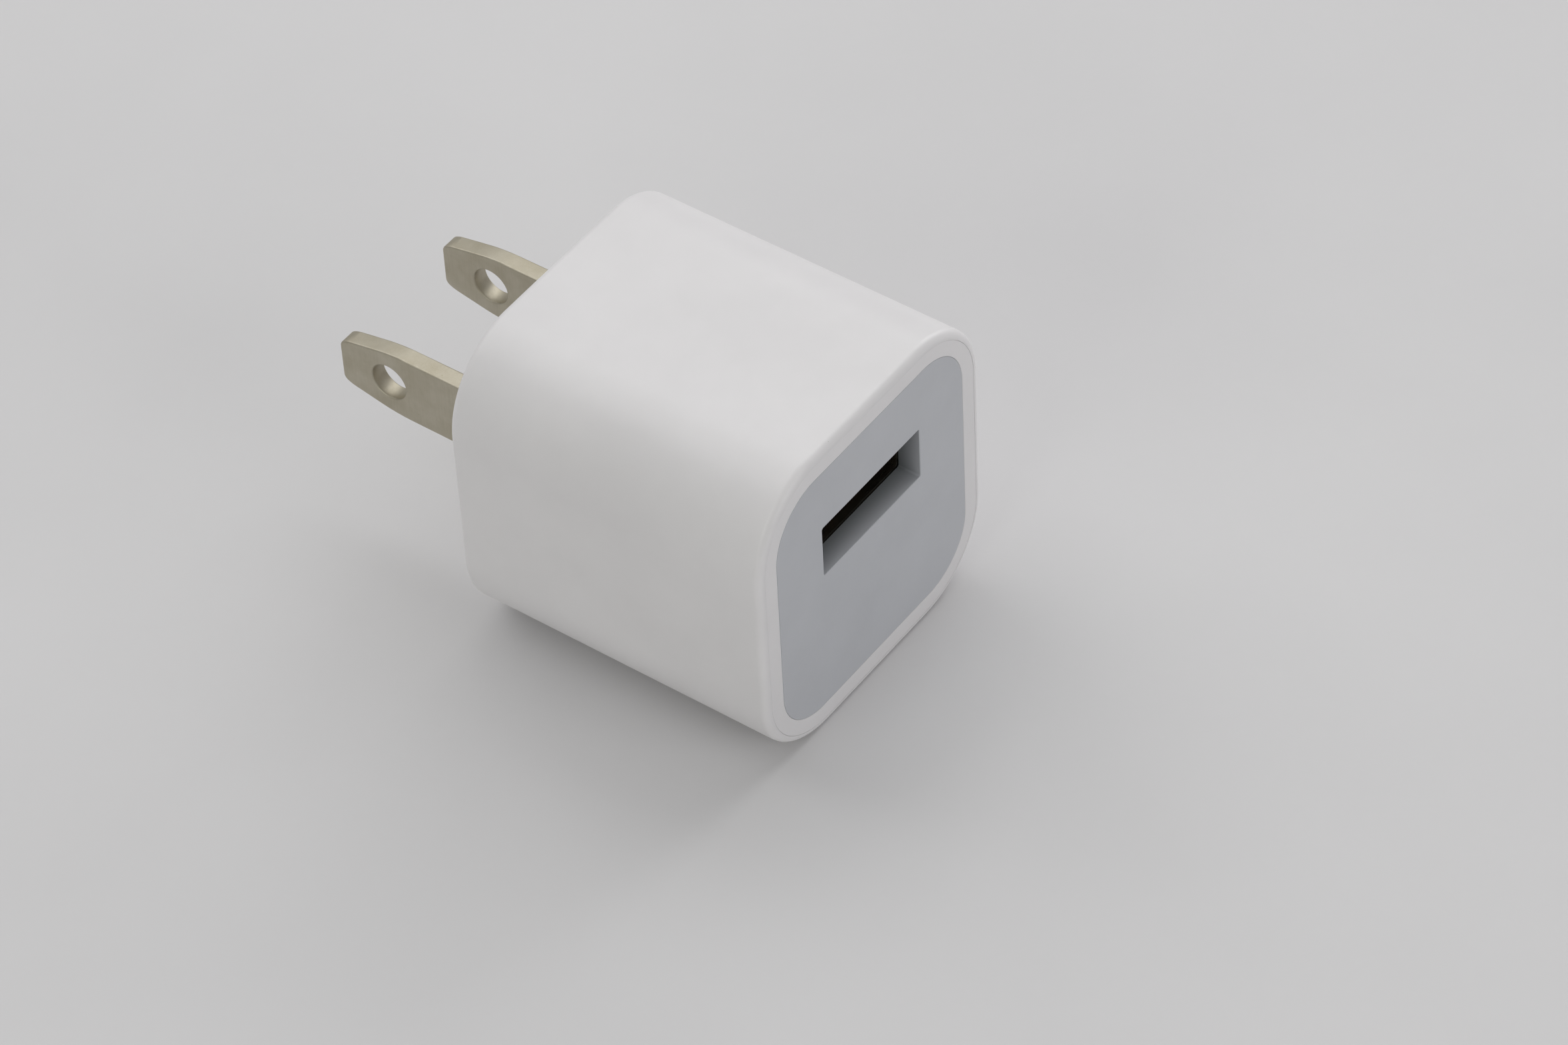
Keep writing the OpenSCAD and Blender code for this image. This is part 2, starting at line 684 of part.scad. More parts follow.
// One E-shaped half of the ferrite core; rear is 1 for the rear half
module core_half(rear) {
    y0 = core_y0;
    translate([0, core_mid_y, 0]) mirror([0, rear, 0]) translate([0, -core_mid_y, 0])
        translate([core_x, 0, core_z]) union() {
            block([-core_w / 2, y0, -core_h / 2], [core_w / 2, y0 + core_back, core_h / 2]);
            block([-core_leg / 2, y0, -core_h / 2], [core_leg / 2, core_mid_y, core_h / 2]);
            for (side = [0, 1])
                mirror([side, 0, 0])
                    block([core_w / 2 - core_back, y0, -core_h / 2],
                        [core_w / 2, core_mid_y, core_h / 2]);
        }
}

module transformer_core_front() { color("darkslategray") core_half(0); }

module transformer_core_rear() { color("darkslategray") core_half(1); }

// Moulded bobbin with two flanges and two pin rails
module transformer_bobbin() {
    color("black") translate([core_x, 0, core_z]) difference() {
        union() {
            for (side = [-1, 1]) {
                y = core_mid_y + side * (window_l - bobbin_flange_t) / 2;
                translate([0, y, 0]) cube([flange_w, bobbin_flange_t, bobbin_h], center = true);
                translate([0, core_mid_y + side * (core_l - rail_l) / 2, (bobbin_h - rail_top_h) / 2])
                    cube([core_w, rail_l, rail_top_h], center = true);
            }
            translate([0, core_mid_y, 0])
                cube([hub_out[0], window_l, hub_out[1]], center = true);
        }
        translate([0, core_mid_y, 0])
            cube([hub_in[0], core_l + cut, hub_in[1]], center = true);
        for (x = core_pin_xs, y = core_pin_ys)
            rod_z(x, y, bobbin_h / 2 - core_pin_in, bobbin_h / 2 + cut, pin_d);
    }
}

// One rectangular layer of wire or tape around the bobbin tube
module wound_layer(inner, outer, length, r) {
    translate([core_x, 0, core_z])
        difference() {
            along_y(core_mid_y - length / 2, core_mid_y + length / 2)
                rounded_rect(outer[0], outer[1], r);
            translate([0, core_mid_y, 0])
                cube([inner[0], length + cut, inner[1]], center = true);
        }
}

// The next layer out, cut away to the rounded outline of the layer under it
module over_layer(inner, inner_r, outer, length, r) {
    translate([core_x, 0, core_z])
        along_y(core_mid_y - length / 2, core_mid_y + length / 2)
            difference() {
                rounded_rect(outer[0], outer[1], r);
                rounded_rect(inner[0], inner[1], inner_r);
            }
}

module transformer_primary() {
    color("chocolate") wound_layer(hub_out, primary_out, wire_l, layer_r);
}

module transformer_secondary() {
    color("peru") over_layer(primary_out, layer_r, secondary_out, wire_l, layer_r + secondary_build);
}

module transformer_tape() {
    color("gold") over_layer(secondary_out, layer_r + secondary_build, tape_out, wire_l,
        layer_r + secondary_build + tape_build);
}

// Tinned pins pressed into the bobbin rails, with flat feet soldered under the board
module transformer_pins() {
    color("silver") for (x = core_pin_xs, y = core_pin_ys) {
        rod_z(core_x + x, y, bobbin_top_z - core_pin_in, board_bottom_z, pin_d);
        rod_z(core_x + x, y, board_bottom_z - foot_t, board_bottom_z, foot_d);
    }
}

// Pieces of a can capacitor that stands on the origin, leads downwards
module can_piece(d, l) {
    can_d = d - 2 * sleeve_t;
    difference() {
        translate([0, 0, sleeve_t]) cylinder(h = l - 2 * sleeve_t, d = can_d);
        translate([0, 0, -cut]) cylinder(h = bung_t + cut, d = can_d - 2 * bung_inset);
    }
}

module sleeve_piece(d, l) {
    can_d = d - 2 * sleeve_t;
    difference() {
        cylinder(h = l, d = d);
        translate([0, 0, sleeve_t]) cylinder(h = l - 2 * sleeve_t, d = can_d);
        translate([0, 0, -cut]) cylinder(h = l + 2 * cut, d = can_d - 2 * sleeve_lap);
    }
}

module bung_piece(d, l) {
    can_d = d - 2 * sleeve_t;
    difference() {
        translate([0, 0, sleeve_t]) cylinder(h = bung_t - sleeve_t, d = can_d - 2 * bung_inset);
        for (s = [-1, 1])
            translate([s * lead_pitch / 2, 0, -cut]) cylinder(h = bung_t + 2 * cut, d = lead_d);
    }
}

// Straight leads of a standing capacitor
module standing_leads(reach) {
    for (s = [-1, 1])
        translate([s * lead_pitch / 2, 0, -reach]) cylinder(h = reach + bung_t, d = lead_d);
}

// Leads of a lying capacitor: out along the axis, then up to the board; rise is the height
module lying_leads(rise) {
    for (s = [-1, 1]) {
        translate([s * lead_pitch / 2, 0, -lead_run]) cylinder(h = lead_run + bung_t, d = lead_d);
        translate([s * lead_pitch / 2, 0, -lead_run]) sphere(d = lead_d);
        translate([s * lead_pitch / 2, 0, -lead_run]) rotate([90, 0, 0])
            cylinder(h = rise, d = lead_d);
    }
}

// The large capacitor lies along Y with its leads to the rear
module place_input_capacitor() {
    translate([big_cap_x, big_cap_y0 + big_cap_l, big_cap_z]) rotate([90, 0, 0])
        mirror([0, 1, 0]) children();
}

module input_capacitor_can() { color("silver") place_input_capacitor() can_piece(big_cap_d, big_cap_l); }

module input_capacitor_sleeve() {
    color("black") place_input_capacitor() sleeve_piece(big_cap_d, big_cap_l);
}

module input_capacitor_bung() {
    color("dimgray") place_input_capacitor() bung_piece(big_cap_d, big_cap_l);
}

module input_capacitor_leads() { color("silver") place_input_capacitor() lying_leads(big_rise); }

// The small capacitor lies along X with its leads to the right
module place_filter_capacitor() {
    translate([small_cap_x0 + small_cap_l, small_cap_y, small_cap_z]) rotate([0, 0, -90])
        rotate([90, 0, 0]) mirror([0, 1, 0]) children();
}

module filter_capacitor_can() {
    color("silver") place_filter_capacitor() can_piece(small_cap_d, small_cap_l);
}

module filter_capacitor_sleeve() {
    color("black") place_filter_capacitor() sleeve_piece(small_cap_d, small_cap_l);
}

module filter_capacitor_bung() {
    color("dimgray") place_filter_capacitor() bung_piece(small_cap_d, small_cap_l);
}

module filter_capacitor_leads() { color("silver") place_filter_capacitor() lying_leads(small_rise); }

// The output capacitor stands on the board
module place_output_capacitor() {
    translate([out_cap_x, out_cap_y, board_top_z + out_cap_lift]) children();
}

module output_capacitor_can() {
    color("silver") place_output_capacitor() can_piece(out_cap_d, out_cap_l);
}

module output_capacitor_sleeve() {
    color("darkgreen") place_output_capacitor() sleeve_piece(out_cap_d, out_cap_l);
}

module output_capacitor_bung() {
    color("dimgray") place_output_capacitor() bung_piece(out_cap_d, out_cap_l);
}

module output_capacitor_leads() {
    color("silver") place_output_capacitor() standing_leads(out_cap_lift + board_t + pin_out);
}

// Ferrite drum of the filter coil
module filter_coil_core() {
    color("dimgray") translate([coil_x0, small_cap_y, coil_z]) rotate([0, 90, 0]) {
        cylinder(h = coil_l, d = coil_hub_d);
        cylinder(h = coil_flange_t, d = coil_d);
        translate([0, 0, coil_l - coil_flange_t]) cylinder(h = coil_flange_t, d = coil_d);
    }
}

// Wire on the drum, with both ends led up to the board through notches beside the flanges
module filter_coil_winding() {
    wire_d = coil_d - coil_dip;
    color("chocolate") union() {
        translate([coil_x0 + coil_flange_t, small_cap_y, coil_z]) rotate([0, 90, 0])
            difference() {
                cylinder(h = coil_l - 2 * coil_flange_t, d = wire_d);
                translate([0, 0, -cut]) cylinder(h = coil_l, d = coil_hub_d);
            }
        for (end = [-1, 1])
            winding_end(coil_x0 + coil_l / 2 + end * (coil_l / 2 - coil_flange_t - lead_d / 2), end);
    }
}

// A winding end that rises clear of the drum, steps outward and enters the board
module winding_end(x, end) {
    hole_x = coil_x0 + coil_l / 2 + end * (coil_l / 2 - coil_end_in);
    step_z = coil_z + coil_d / 2 + coil_step;
    rod_z(x, small_cap_y, coil_z + coil_d / 2 - coil_dip, step_z, lead_d);
    translate([min(x, hole_x), small_cap_y, step_z]) rotate([0, 90, 0])
        cylinder(h = abs(hole_x - x), d = lead_d);
    translate([x, small_cap_y, step_z]) sphere(d = lead_d);
    translate([hole_x, small_cap_y, step_z]) sphere(d = lead_d);
    rod_z(hole_x, small_cap_y, step_z, board_top_z + pin_out, lead_d);
}

// Blue disc capacitor that bridges the two sides of the supply
module safety_capacitor() {
    edge_r = disc_t / 2 - disc_edge;
    color("steelblue") translate([disc_x, disc_y, disc_z]) rotate([90, 0, 0])
        difference() {
            rotate_extrude() {
                translate([0, -disc_t / 2]) square([disc_d / 2 - edge_r, disc_t]);
                translate([0, edge_r - disc_t / 2])
                    square([disc_d / 2, disc_t - 2 * edge_r]);
                for (end = [-1, 1])
                    translate([disc_d / 2 - edge_r, end * (disc_t / 2 - edge_r)]) circle(r = edge_r);
            }
            for (s = [-1, 1])
                translate([s * disc_pitch / 2, 0, 0]) rotate([90, 0, 0])
                    cylinder(h = disc_d, d = lead_d);
        }
}

module safety_capacitor_leads() {
    color("silver") for (s = [-1, 1])
        rod_z(disc_x + s * disc_pitch / 2, disc_y, board_bottom_z - pin_out, disc_z, lead_d);
}

// Standing fuse resistor
module fuse_resistor() {
    color("olivedrab") rod_z(fuse_x, fuse_y, fuse_z, fuse_z + fuse_l, fuse_d);
}

// Its leads: one straight down, one over the top and down beside it
module fuse_resistor_leads() {
    top_z = fuse_z + fuse_l + fuse_loop;
    color("silver") union() {
        rod_z(fuse_x, fuse_y, board_bottom_z - pin_out, fuse_z, lead_d);
        rod_z(fuse_x, fuse_y, fuse_z + fuse_l, top_z, lead_d);
        rod_z(fuse_x + fuse_pitch, fuse_y, board_bottom_z - pin_out, top_z, lead_d);
        translate([fuse_x + min(fuse_pitch, 0), fuse_y, top_z]) rotate([0, 90, 0])
            cylinder(h = abs(fuse_pitch), d = lead_d);
        for (x = [fuse_x, fuse_x + fuse_pitch])
            translate([x, fuse_y, top_z]) sphere(d = lead_d);
    }
}

// Moulded chip body with its leads out along Y
module chip_body(x, y, l, h) {
    block([x - chip_w / 2, y - l / 2, board_top_z + chip_lift],
        [x + chip_w / 2, y + l / 2, board_top_z + chip_lift + h]);
}

// Gull-wing leads at each place in xs, on both sides of the body
module chip_legs(x, y, l, h, xs, leg_w) {
    exit_z = board_top_z + chip_lift + h / 2;
    for (dx = xs, side = [0, 1])
        translate([x + dx, y, 0]) mirror([0, side, 0]) {
            block([-leg_w / 2, l / 2, exit_z - chip_lead_t / 2],
                [leg_w / 2, l / 2 + chip_lead_run / 2, exit_z + chip_lead_t / 2]);
            block([-leg_w / 2, l / 2 + chip_lead_run / 2 - chip_lead_t, board_top_z],
                [leg_w / 2, l / 2 + chip_lead_run / 2, exit_z + chip_lead_t / 2]);
            block([-leg_w / 2, l / 2 + chip_lead_run / 2 - chip_lead_t, board_top_z],
                [leg_w / 2, l / 2 + chip_lead_run, board_top_z + chip_lead_t]);
        }
}

module control_chip() { color("black") chip_body(side_x, chip_y, chip_l, chip_h); }

module control_chip_leads() {
    color("silver") chip_legs(side_x, chip_y, chip_l, chip_h, chip_leg_xs, chip_lead_w);
}

module bridge_rectifier() { color("black") chip_body(-side_x, bridge_y, bridge_l, bridge_h); }

module bridge_rectifier_leads() {
    color("silver") chip_legs(-side_x, bridge_y, bridge_l, bridge_h, bridge_leg_xs, 2 * chip_lead_w);
}

// Output diode behind the port
module output_diode() {
    color("black") block([diode_x - diode_l / 2, diode_y - diode_w / 2, board_top_z + chip_lift],
        [diode_x + diode_l / 2, diode_y + diode_w / 2, board_top_z + chip_lift + diode_h]);
}

module output_diode_terminals() {
    color("silver") for (side = [-1, 1])
        translate([diode_x + side * (diode_l / 2 + chip_lead_t / 2), diode_y,
                board_top_z + diode_h / 4])
            cube([chip_lead_t, diode_w / 2, diode_h / 2], center = true);
}

// One surface part with solder caps on its ends
module small_part(x, y, h) {
    block([x - small_part_l / 2, y - small_part_w / 2, board_top_z],
        [x + small_part_l / 2, y + small_part_w / 2, board_top_z + h]);
    for (side = [-1, 1])
        translate([x + side * (small_part_l - small_part_end) / 2, y,
                board_top_z + (h + small_part_film) / 2])
            cube([small_part_end, small_part_w + 2 * small_part_film, h + small_part_film],
                center = true);
}

module chip_resistors() {
    color("dimgray") for (y = small_part_ys, dx = [-small_part_x, small_part_x])
        small_part(side_x + dx, y, small_part_h);
}

module chip_capacitors() {
    color("tan") for (y = small_part_ys, dx = [-small_part_x, small_part_x])
        small_part(-side_x + dx, y, small_cap_part_h);
}

// Fish-paper sheet between the port and the parts behind it
module insulation_sheet() {
    color("beige") block([-sheet_w / 2, sheet_y, board_top_z],
        [sheet_w / 2, sheet_y + sheet_t, board_top_z + sheet_h]);
}

body_shell();
front_cap();
face_plate();
blade_left();
blade_right();
blade_retainer();
blade_clip_left();
blade_clip_right();
usb_shell();
usb_insulator();
contact_spring_1();
contact_spring_2();
contact_spring_3();
contact_spring_4();
contact_tail_1();
contact_tail_2();
contact_tail_3();
contact_tail_4();
main_board();
transformer_core_front();
transformer_core_rear();
transformer_bobbin();
transformer_primary();
transformer_secondary();
transformer_tape();
transformer_pins();
input_capacitor_can();
input_capacitor_sleeve();
input_capacitor_bung();
input_capacitor_leads();
filter_capacitor_can();
filter_capacitor_sleeve();
filter_capacitor_bung();
filter_capacitor_leads();
output_capacitor_can();
output_capacitor_sleeve();
output_capacitor_bung();
output_capacitor_leads();
filter_coil_core();
filter_coil_winding();
safety_capacitor();
safety_capacitor_leads();
fuse_resistor();
fuse_resistor_leads();
bridge_rectifier();
bridge_rectifier_leads();
control_chip();
control_chip_leads();
output_diode();
output_diode_terminals();
chip_resistors();
chip_capacitors();
insulation_sheet();
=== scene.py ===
"""Looks of a USB wall charger: white moulded cube, grey port face, two plated blades."""

from __future__ import annotations

import json
import logging
import math
from dataclasses import dataclass
from enum import Enum
from typing import Any, Iterable, Sequence

import bmesh
import bpy
from mathutils import Matrix, Vector

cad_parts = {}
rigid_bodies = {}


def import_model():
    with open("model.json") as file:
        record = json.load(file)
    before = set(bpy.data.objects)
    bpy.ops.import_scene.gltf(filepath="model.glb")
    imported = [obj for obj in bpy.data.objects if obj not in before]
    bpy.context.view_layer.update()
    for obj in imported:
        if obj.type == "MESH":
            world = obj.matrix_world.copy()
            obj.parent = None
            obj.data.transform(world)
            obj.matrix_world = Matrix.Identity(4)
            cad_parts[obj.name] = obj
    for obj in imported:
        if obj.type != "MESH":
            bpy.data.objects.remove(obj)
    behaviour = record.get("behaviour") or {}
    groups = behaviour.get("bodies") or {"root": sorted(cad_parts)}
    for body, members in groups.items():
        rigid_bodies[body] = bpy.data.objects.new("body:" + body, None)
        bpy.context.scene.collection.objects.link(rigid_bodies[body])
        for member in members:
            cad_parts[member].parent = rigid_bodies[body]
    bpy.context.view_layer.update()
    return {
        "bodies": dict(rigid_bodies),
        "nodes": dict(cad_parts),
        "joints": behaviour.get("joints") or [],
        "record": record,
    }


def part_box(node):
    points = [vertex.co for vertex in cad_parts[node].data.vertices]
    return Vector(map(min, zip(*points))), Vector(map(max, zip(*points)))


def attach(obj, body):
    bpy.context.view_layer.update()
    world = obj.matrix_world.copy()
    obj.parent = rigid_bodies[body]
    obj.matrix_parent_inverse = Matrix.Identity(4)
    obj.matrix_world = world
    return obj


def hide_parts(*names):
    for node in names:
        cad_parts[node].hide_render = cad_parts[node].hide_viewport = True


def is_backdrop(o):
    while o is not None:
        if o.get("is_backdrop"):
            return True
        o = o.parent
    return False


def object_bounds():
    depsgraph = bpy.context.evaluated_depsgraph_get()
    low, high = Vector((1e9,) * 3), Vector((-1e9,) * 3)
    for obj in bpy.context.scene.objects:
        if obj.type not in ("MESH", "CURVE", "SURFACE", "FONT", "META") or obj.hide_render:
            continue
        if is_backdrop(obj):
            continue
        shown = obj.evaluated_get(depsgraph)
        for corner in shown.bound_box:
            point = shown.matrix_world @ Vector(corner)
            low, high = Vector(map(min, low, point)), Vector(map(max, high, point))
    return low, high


LOG = logging.getLogger("charger")
MM = 0.001
BODY = "charger"


# ---------------------------------------------------------------- finishes


# The middle part of a noise, which is stretched over a finish's range.
CLOUD_RANGE = (0.35, 0.65)
GRAIN_RANGE = (0.3, 0.7)


def linear(hex_colour: str) -> tuple[float, float, float, float]:
    """Turns an sRGB hex colour into the linear colour that shaders use.

    Args:
        hex_colour: Six hex digits, such as "e9e8e6".

    Returns:
        Linear red, green, blue and an alpha of one.
    """
    channels = [int(hex_colour[i : i + 2], 16) / 255 for i in (0, 2, 4)]
    r, g, b = (c / 12.92 if c <= 0.04045 else ((c + 0.055) / 1.055) ** 2.4 for c in channels)
    return r, g, b, 1.0


def add_node(
    tree: bpy.types.NodeTree,
    kind: str,
    settings: dict[str, Any] | None = None,
    inputs: dict[Any, Any] | None = None,
) -> bpy.types.Node:
    """Adds one shader node with its settings, values and links.

    Args:
        tree: The material's node tree.
        kind: The node's type name.
        settings: Node properties by name.
        inputs: Socket values, or output sockets to link from, by input name or index.

    Returns:
        The new node.
    """
    node = tree.nodes.new(kind)
    for name, value in (settings or {}).items():
        setattr(node, name, value)
    for key, value in (inputs or {}).items():
        if isinstance(value, bpy.types.NodeSocket):
            tree.links.new(value, node.inputs[key])
        else:
            node.inputs[key].default_value = value
    return node


def per_mm(period_mm: float) -> float:
    """Noise scale that gives a pattern about one feature for each period, in millimetres."""
    return 1.0 / (period_mm * MM)


class Coordinates(Enum):
    """How a pattern lies on a piece: even, or drawn out along one axis."""

    EVEN = (1.0, 1.0, 1.0)
    ALONG_X = (0.06, 1.0, 1.0)
    ALONG_Y = (1.0, 0.06, 1.0)
    ALONG_Z = (1.0, 1.0, 0.06)


@dataclass(frozen=True)
class Finish:
    """A surface finish: tint, gloss, the fine relief of how it was made, and any painted shade
    with depth.
    """

    name: str
    colour: str
    shade: str
    roughness: tuple[float, float]
    ior: float = 1.5
    metallic: float = 0.0
    grain_mm: float = 0.4
    grain_height_mm: float = 0.004
    cloud_mm: float = 6.0
    specular: float = 0.5
    coat: float = 0.0
    coat_roughness: float = 0.2
    subsurface: float = 0.0
    subsurface_mm: float = 0.6
    lay: Coordinates = Coordinates.EVEN
    # Painted shade: between these two depths along Y the surface darkens to this colour, standing
    # in for the shade inside a recess.
    painted_depth_shade: str | None = None
    painted_shade_y_mm: tuple[float, float] = (0.0, 1.0)
    specks: str | None = None
    speck_mm: float = 3.0
    speck_share: float = 0.06

    def build(self) -> bpy.types.Material:
        """Makes the material, or returns it if it was made already.

        Returns:
            The node material.
        """
        ready = bpy.data.materials.get(self.name)
        if ready:
            return ready
        material = bpy.data.materials.new(self.name)
        material.use_nodes = True
        tree = material.node_tree
        tree.nodes.clear()
        where = add_node(tree, "ShaderNodeTexCoord").outputs["Object"]
        drawn = add_node(
            tree, "ShaderNodeMapping", {}, {"Vector": where, "Scale": self.lay.value}
        ).outputs["Vector"]
        cloud = add_node(
            tree,
            "ShaderNodeTexNoise",
            {},
            {"Vector": where, "Scale": per_mm(self.cloud_mm), "Detail": 3.0, "Roughness": 0.55},
        ).outputs["Fac"]
        grain = add_node(
            tree,
            "ShaderNodeTexNoise",
            {},
            {"Vector": drawn, "Scale": per_mm(self.grain_mm), "Detail": 4.0, "Roughness": 0.6},
        ).outputs["Fac"]
        blend = add_node(
            tree,
            "ShaderNodeMapRange",
            {},
            {"Value": cloud, "From Min": CLOUD_RANGE[0], "From Max": CLOUD_RANGE[1]},
        ).outputs["Result"]
        tint = add_node(
            tree,
            "ShaderNodeMix",
            {"data_type": "RGBA"},
            {"Factor": blend, "A": linear(self.colour), "B": linear(self.shade)},
        ).outputs["Result"]
        # Painted shade that darkens the surface with depth, where the finish has it.
        if self.painted_depth_shade:
            tint = self._with_painted_depth_shade(tree, where, tint)
        if self.specks:
            tint = self._speckled(tree, where, tint)
        rough = add_node(
            tree,
            "ShaderNodeMapRange",
            {},
            {
                "Value": grain,
                "From Min": GRAIN_RANGE[0],
                "From Max": GRAIN_RANGE[1],
                "To Min": self.roughness[0],
                "To Max": self.roughness[1],
            },
        ).outputs["Result"]
        relief = add_node(
            tree,
            "ShaderNodeBump",
            {},
            {"Height": grain, "Strength": 1.0, "Distance": self.grain_height_mm * MM},
        ).outputs["Normal"]
        surface = add_node(
            tree,
            "ShaderNodeBsdfPrincipled",
            {"subsurface_method": "BURLEY"},
            {
                "Base Color": tint,
                "Roughness": rough,
                "Normal": relief,
                "Metallic": self.metallic,
                "IOR": self.ior,
                "Specular IOR Level": self.specular,
                "Coat Weight": self.coat,
                "Coat Roughness": self.coat_roughness,
                "Subsurface Weight": self.subsurface,
                "Subsurface Radius": (1.0, 0.9, 0.8),
                "Subsurface Scale": self.subsurface_mm * MM,
            },
        )
        add_node(tree, "ShaderNodeOutputMaterial", {}, {"Surface": surface.outputs["BSDF"]})
        return material

    def _with_painted_depth_shade(
        self, tree: bpy.types.NodeTree, where: bpy.types.NodeSocket, tint: bpy.types.NodeSocket
    ) -> bpy.types.NodeSocket:
        """Paints shade that darkens the surface with depth, standing in for the shade on the
        walls of a port.

        Args:
            tree: The material's node tree.
            where: Coordinates of the surface.
            tint: The colour at the front.

        Returns:
            The colour with its painted shade at depth.
        """
        depth = add_node(tree, "ShaderNodeSeparateXYZ", {}, {"Vector": where}).outputs["Y"]
        shade_share = add_node(
            tree,
            "ShaderNodeMapRange",
            {},
            {
                "Value": depth,
                "From Min": self.painted_shade_y_mm[0] * MM,
                "From Max": self.painted_shade_y_mm[1] * MM,
            },
        ).outputs["Result"]
        return add_node(
            tree,
            "ShaderNodeMix",
            {"data_type": "RGBA"},
            {"Factor": shade_share, "A": tint, "B": linear(self.painted_depth_shade)},
        ).outputs["Result"]

    def _speckled(
        self, tree: bpy.types.NodeTree, where: bpy.types.NodeSocket, tint: bpy.types.NodeSocket
    ) -> bpy.types.NodeSocket:
        """Adds sparse small spots of another tint, such as pits in plating.

        Args:
            tree: The material's node tree.
            where: Coordinates of the surface.
            tint: The colour under the spots.

        Returns:
            The colour with its spots.
        """
        cells = add_node(
            tree,
            "ShaderNodeTexVoronoi",
            {},
            {"Vector": where, "Scale": per_mm(self.speck_mm), "Randomness": 1.0},
        ).outputs["Distance"]
        spot = add_node(
            tree,
            "ShaderNodeMapRange",
            {},
            {
                "Value": cells,
                "From Min": self.speck_share * 0.5,
                "From Max": self.speck_share,
                "To Min": 1.0,
                "To Max": 0.0,
            },
        ).outputs["Result"]
        return add_node(
            tree,
            "ShaderNodeMix",
            {"data_type": "RGBA"},
            {"Factor": spot, "A": tint, "B": linear(self.specks)},
        ).outputs["Result"]


# Glossy white polycarbonate from a spark-eroded mould: bright, soft-edged reflections.
WHITE_PC = Finish(
    name="moulded_white_polycarbonate", colour="e8e6e7", shade="e4e2e3", roughness=(0.36, 0.42),
    ior=1.585, grain_mm=0.35, grain_height_mm=0.0015, cloud_mm=9.0, coat=0.08,
    coat_roughness=0.25, subsurface=0.12, subsurface_mm=0.8, specks="c9c8c5", speck_mm=5.0,
    speck_share=0.012,
)
# The same plastic tinted cool grey, with a matter mould texture: flat tone, with painted shade
# that darkens the window walls inside the port.
GREY_PC = Finish(
    name="moulded_grey_polycarbonate", colour="c1c3c8", shade="bdbfc4", roughness=(0.38, 0.46),
    ior=1.585, grain_mm=0.25, grain_height_mm=0.0015, cloud_mm=7.0, specks="a9abb0",
    speck_mm=4.0, speck_share=0.012, painted_depth_shade="83888b", painted_shade_y_mm=(-28.1, -26.2),
)
# Nickel plate on stamped brass: warm satin grey with fine lines across the blade and small pits.
NICKEL = Finish(
    name="nickel_plated_brass", colour="bfb9a9", shade="b5ae9c", roughness=(0.44, 0.56),
    metallic=1.0, grain_mm=0.16, grain_height_mm=0.0030, cloud_mm=2.2, lay=Coordinates.ALONG_Z,
    specks="a29a85", speck_mm=0.9, speck_share=0.05,
)
# Natural nylon, moulded: slightly yellow and waxy, with soft broad highlights.
NYLON = Finish(
    name="natural_nylon", colour="e2dcca", shade="d8d1bd", roughness=(0.38, 0.5), ior=1.53,
    grain_mm=0.3, grain_height_mm=0.003, subsurface=0.2,
)
# Cold-rolled spring brass: bright yellow metal with fine roll lines along its length.
SPRING_BRASS = Finish(
    name="rolled_spring_brass", colour="d6b163", shade="c9a458", roughness=(0.18, 0.32),
    metallic=1.0, grain_mm=0.12, grain_height_mm=0.002, lay=Coordinates.ALONG_Y,
)
# Tinned steel sheet of the port shell: a soft mirror, with painted shade that greys and browns it
# deeper inside the port.
PORT_STEEL = Finish(
    name="tinned_steel_sheet", colour="b9b1a5", shade="b0a89c", roughness=(0.26, 0.32),
    metallic=1.0, grain_mm=0.12, grain_height_mm=0.0005, lay=Coordinates.ALONG_X,
    painted_depth_shade="6f6657", painted_shade_y_mm=(-26.3, -23.5),
)
# Black glass-filled moulding: nearly black, dull, with a faint fibre pattern.
BLACK_MOULDING = Finish(
    name="black_glass_filled_moulding", colour="0d0b08", shade="0f0d0a", roughness=(0.48, 0.54),
    ior=1.45, specular=0.12, grain_mm=0.3, grain_height_mm=0.0004, lay=Coordinates.ALONG_Y,
)
# Gold flash on phosphor bronze contacts: small bright yellow glints.
GOLD_FLASH = Finish(
    name="gold_flashed_bronze", colour="e5c27a", shade="d9b369", roughness=(0.15, 0.28),
    metallic=1.0, grain_mm=0.1, grain_height_mm=0.0015, lay=Coordinates.ALONG_Y,
)
# Green solder mask over glass cloth: glossy, slightly uneven as the mask follows the cloth.
SOLDER_MASK = Finish(
    name="solder_mask_on_laminate", colour="1f5a31", shade="1a4e2a", roughness=(0.22, 0.34),
    grain_mm=0.5, grain_height_mm=0.006, coat=0.4,
)
# Sintered ferrite: dark, slightly sparkling grey.
FERRITE = Finish(
    name="sintered_ferrite", colour="3a3a3c", shade="303032", roughness=(0.5, 0.7), ior=1.8,
    grain_mm=0.15, grain_height_mm=0.006, specks="5a5a5d", speck_mm=0.6, speck_share=0.12,
)
# Enamelled copper wire, wound in close turns: glossy red-brown with fine ribs.
ENAMELLED_WIRE = Finish(
    name="enamelled_copper_wire", colour="b8622d", shade="9d4d20", roughness=(0.2, 0.34),
    metallic=1.0, grain_mm=0.18, grain_height_mm=0.02, coat=0.5, lay=Coordinates.ALONG_X,
)
# Yellow polyester tape, wrapped: clear glossy yellow with shallow ripples.
POLYESTER_TAPE = Finish(
    name="yellow_polyester_tape", colour="e0b12c", shade="d7a722", roughness=(0.2, 0.3),
    grain_mm=1.2, grain_height_mm=0.01, coat=0.3,
)
# Tinned copper leads: bright silver with slight dip marks.
TINNED_WIRE = Finish(
    name="tinned_copper_wire", colour="cfcfcf", shade="bcbcbc", roughness=(0.16, 0.3),
    metallic=1.0, grain_mm=0.1, grain_height_mm=0.002,
)
# Deep-drawn aluminium can: pale soft-sheened metal.
CAN_ALUMINIUM = Finish(
    name="drawn_aluminium_can", colour="d3d4d6", shade="c3c4c6", roughness=(0.24, 0.36),
    metallic=1.0, grain_mm=0.12, grain_height_mm=0.002,
)
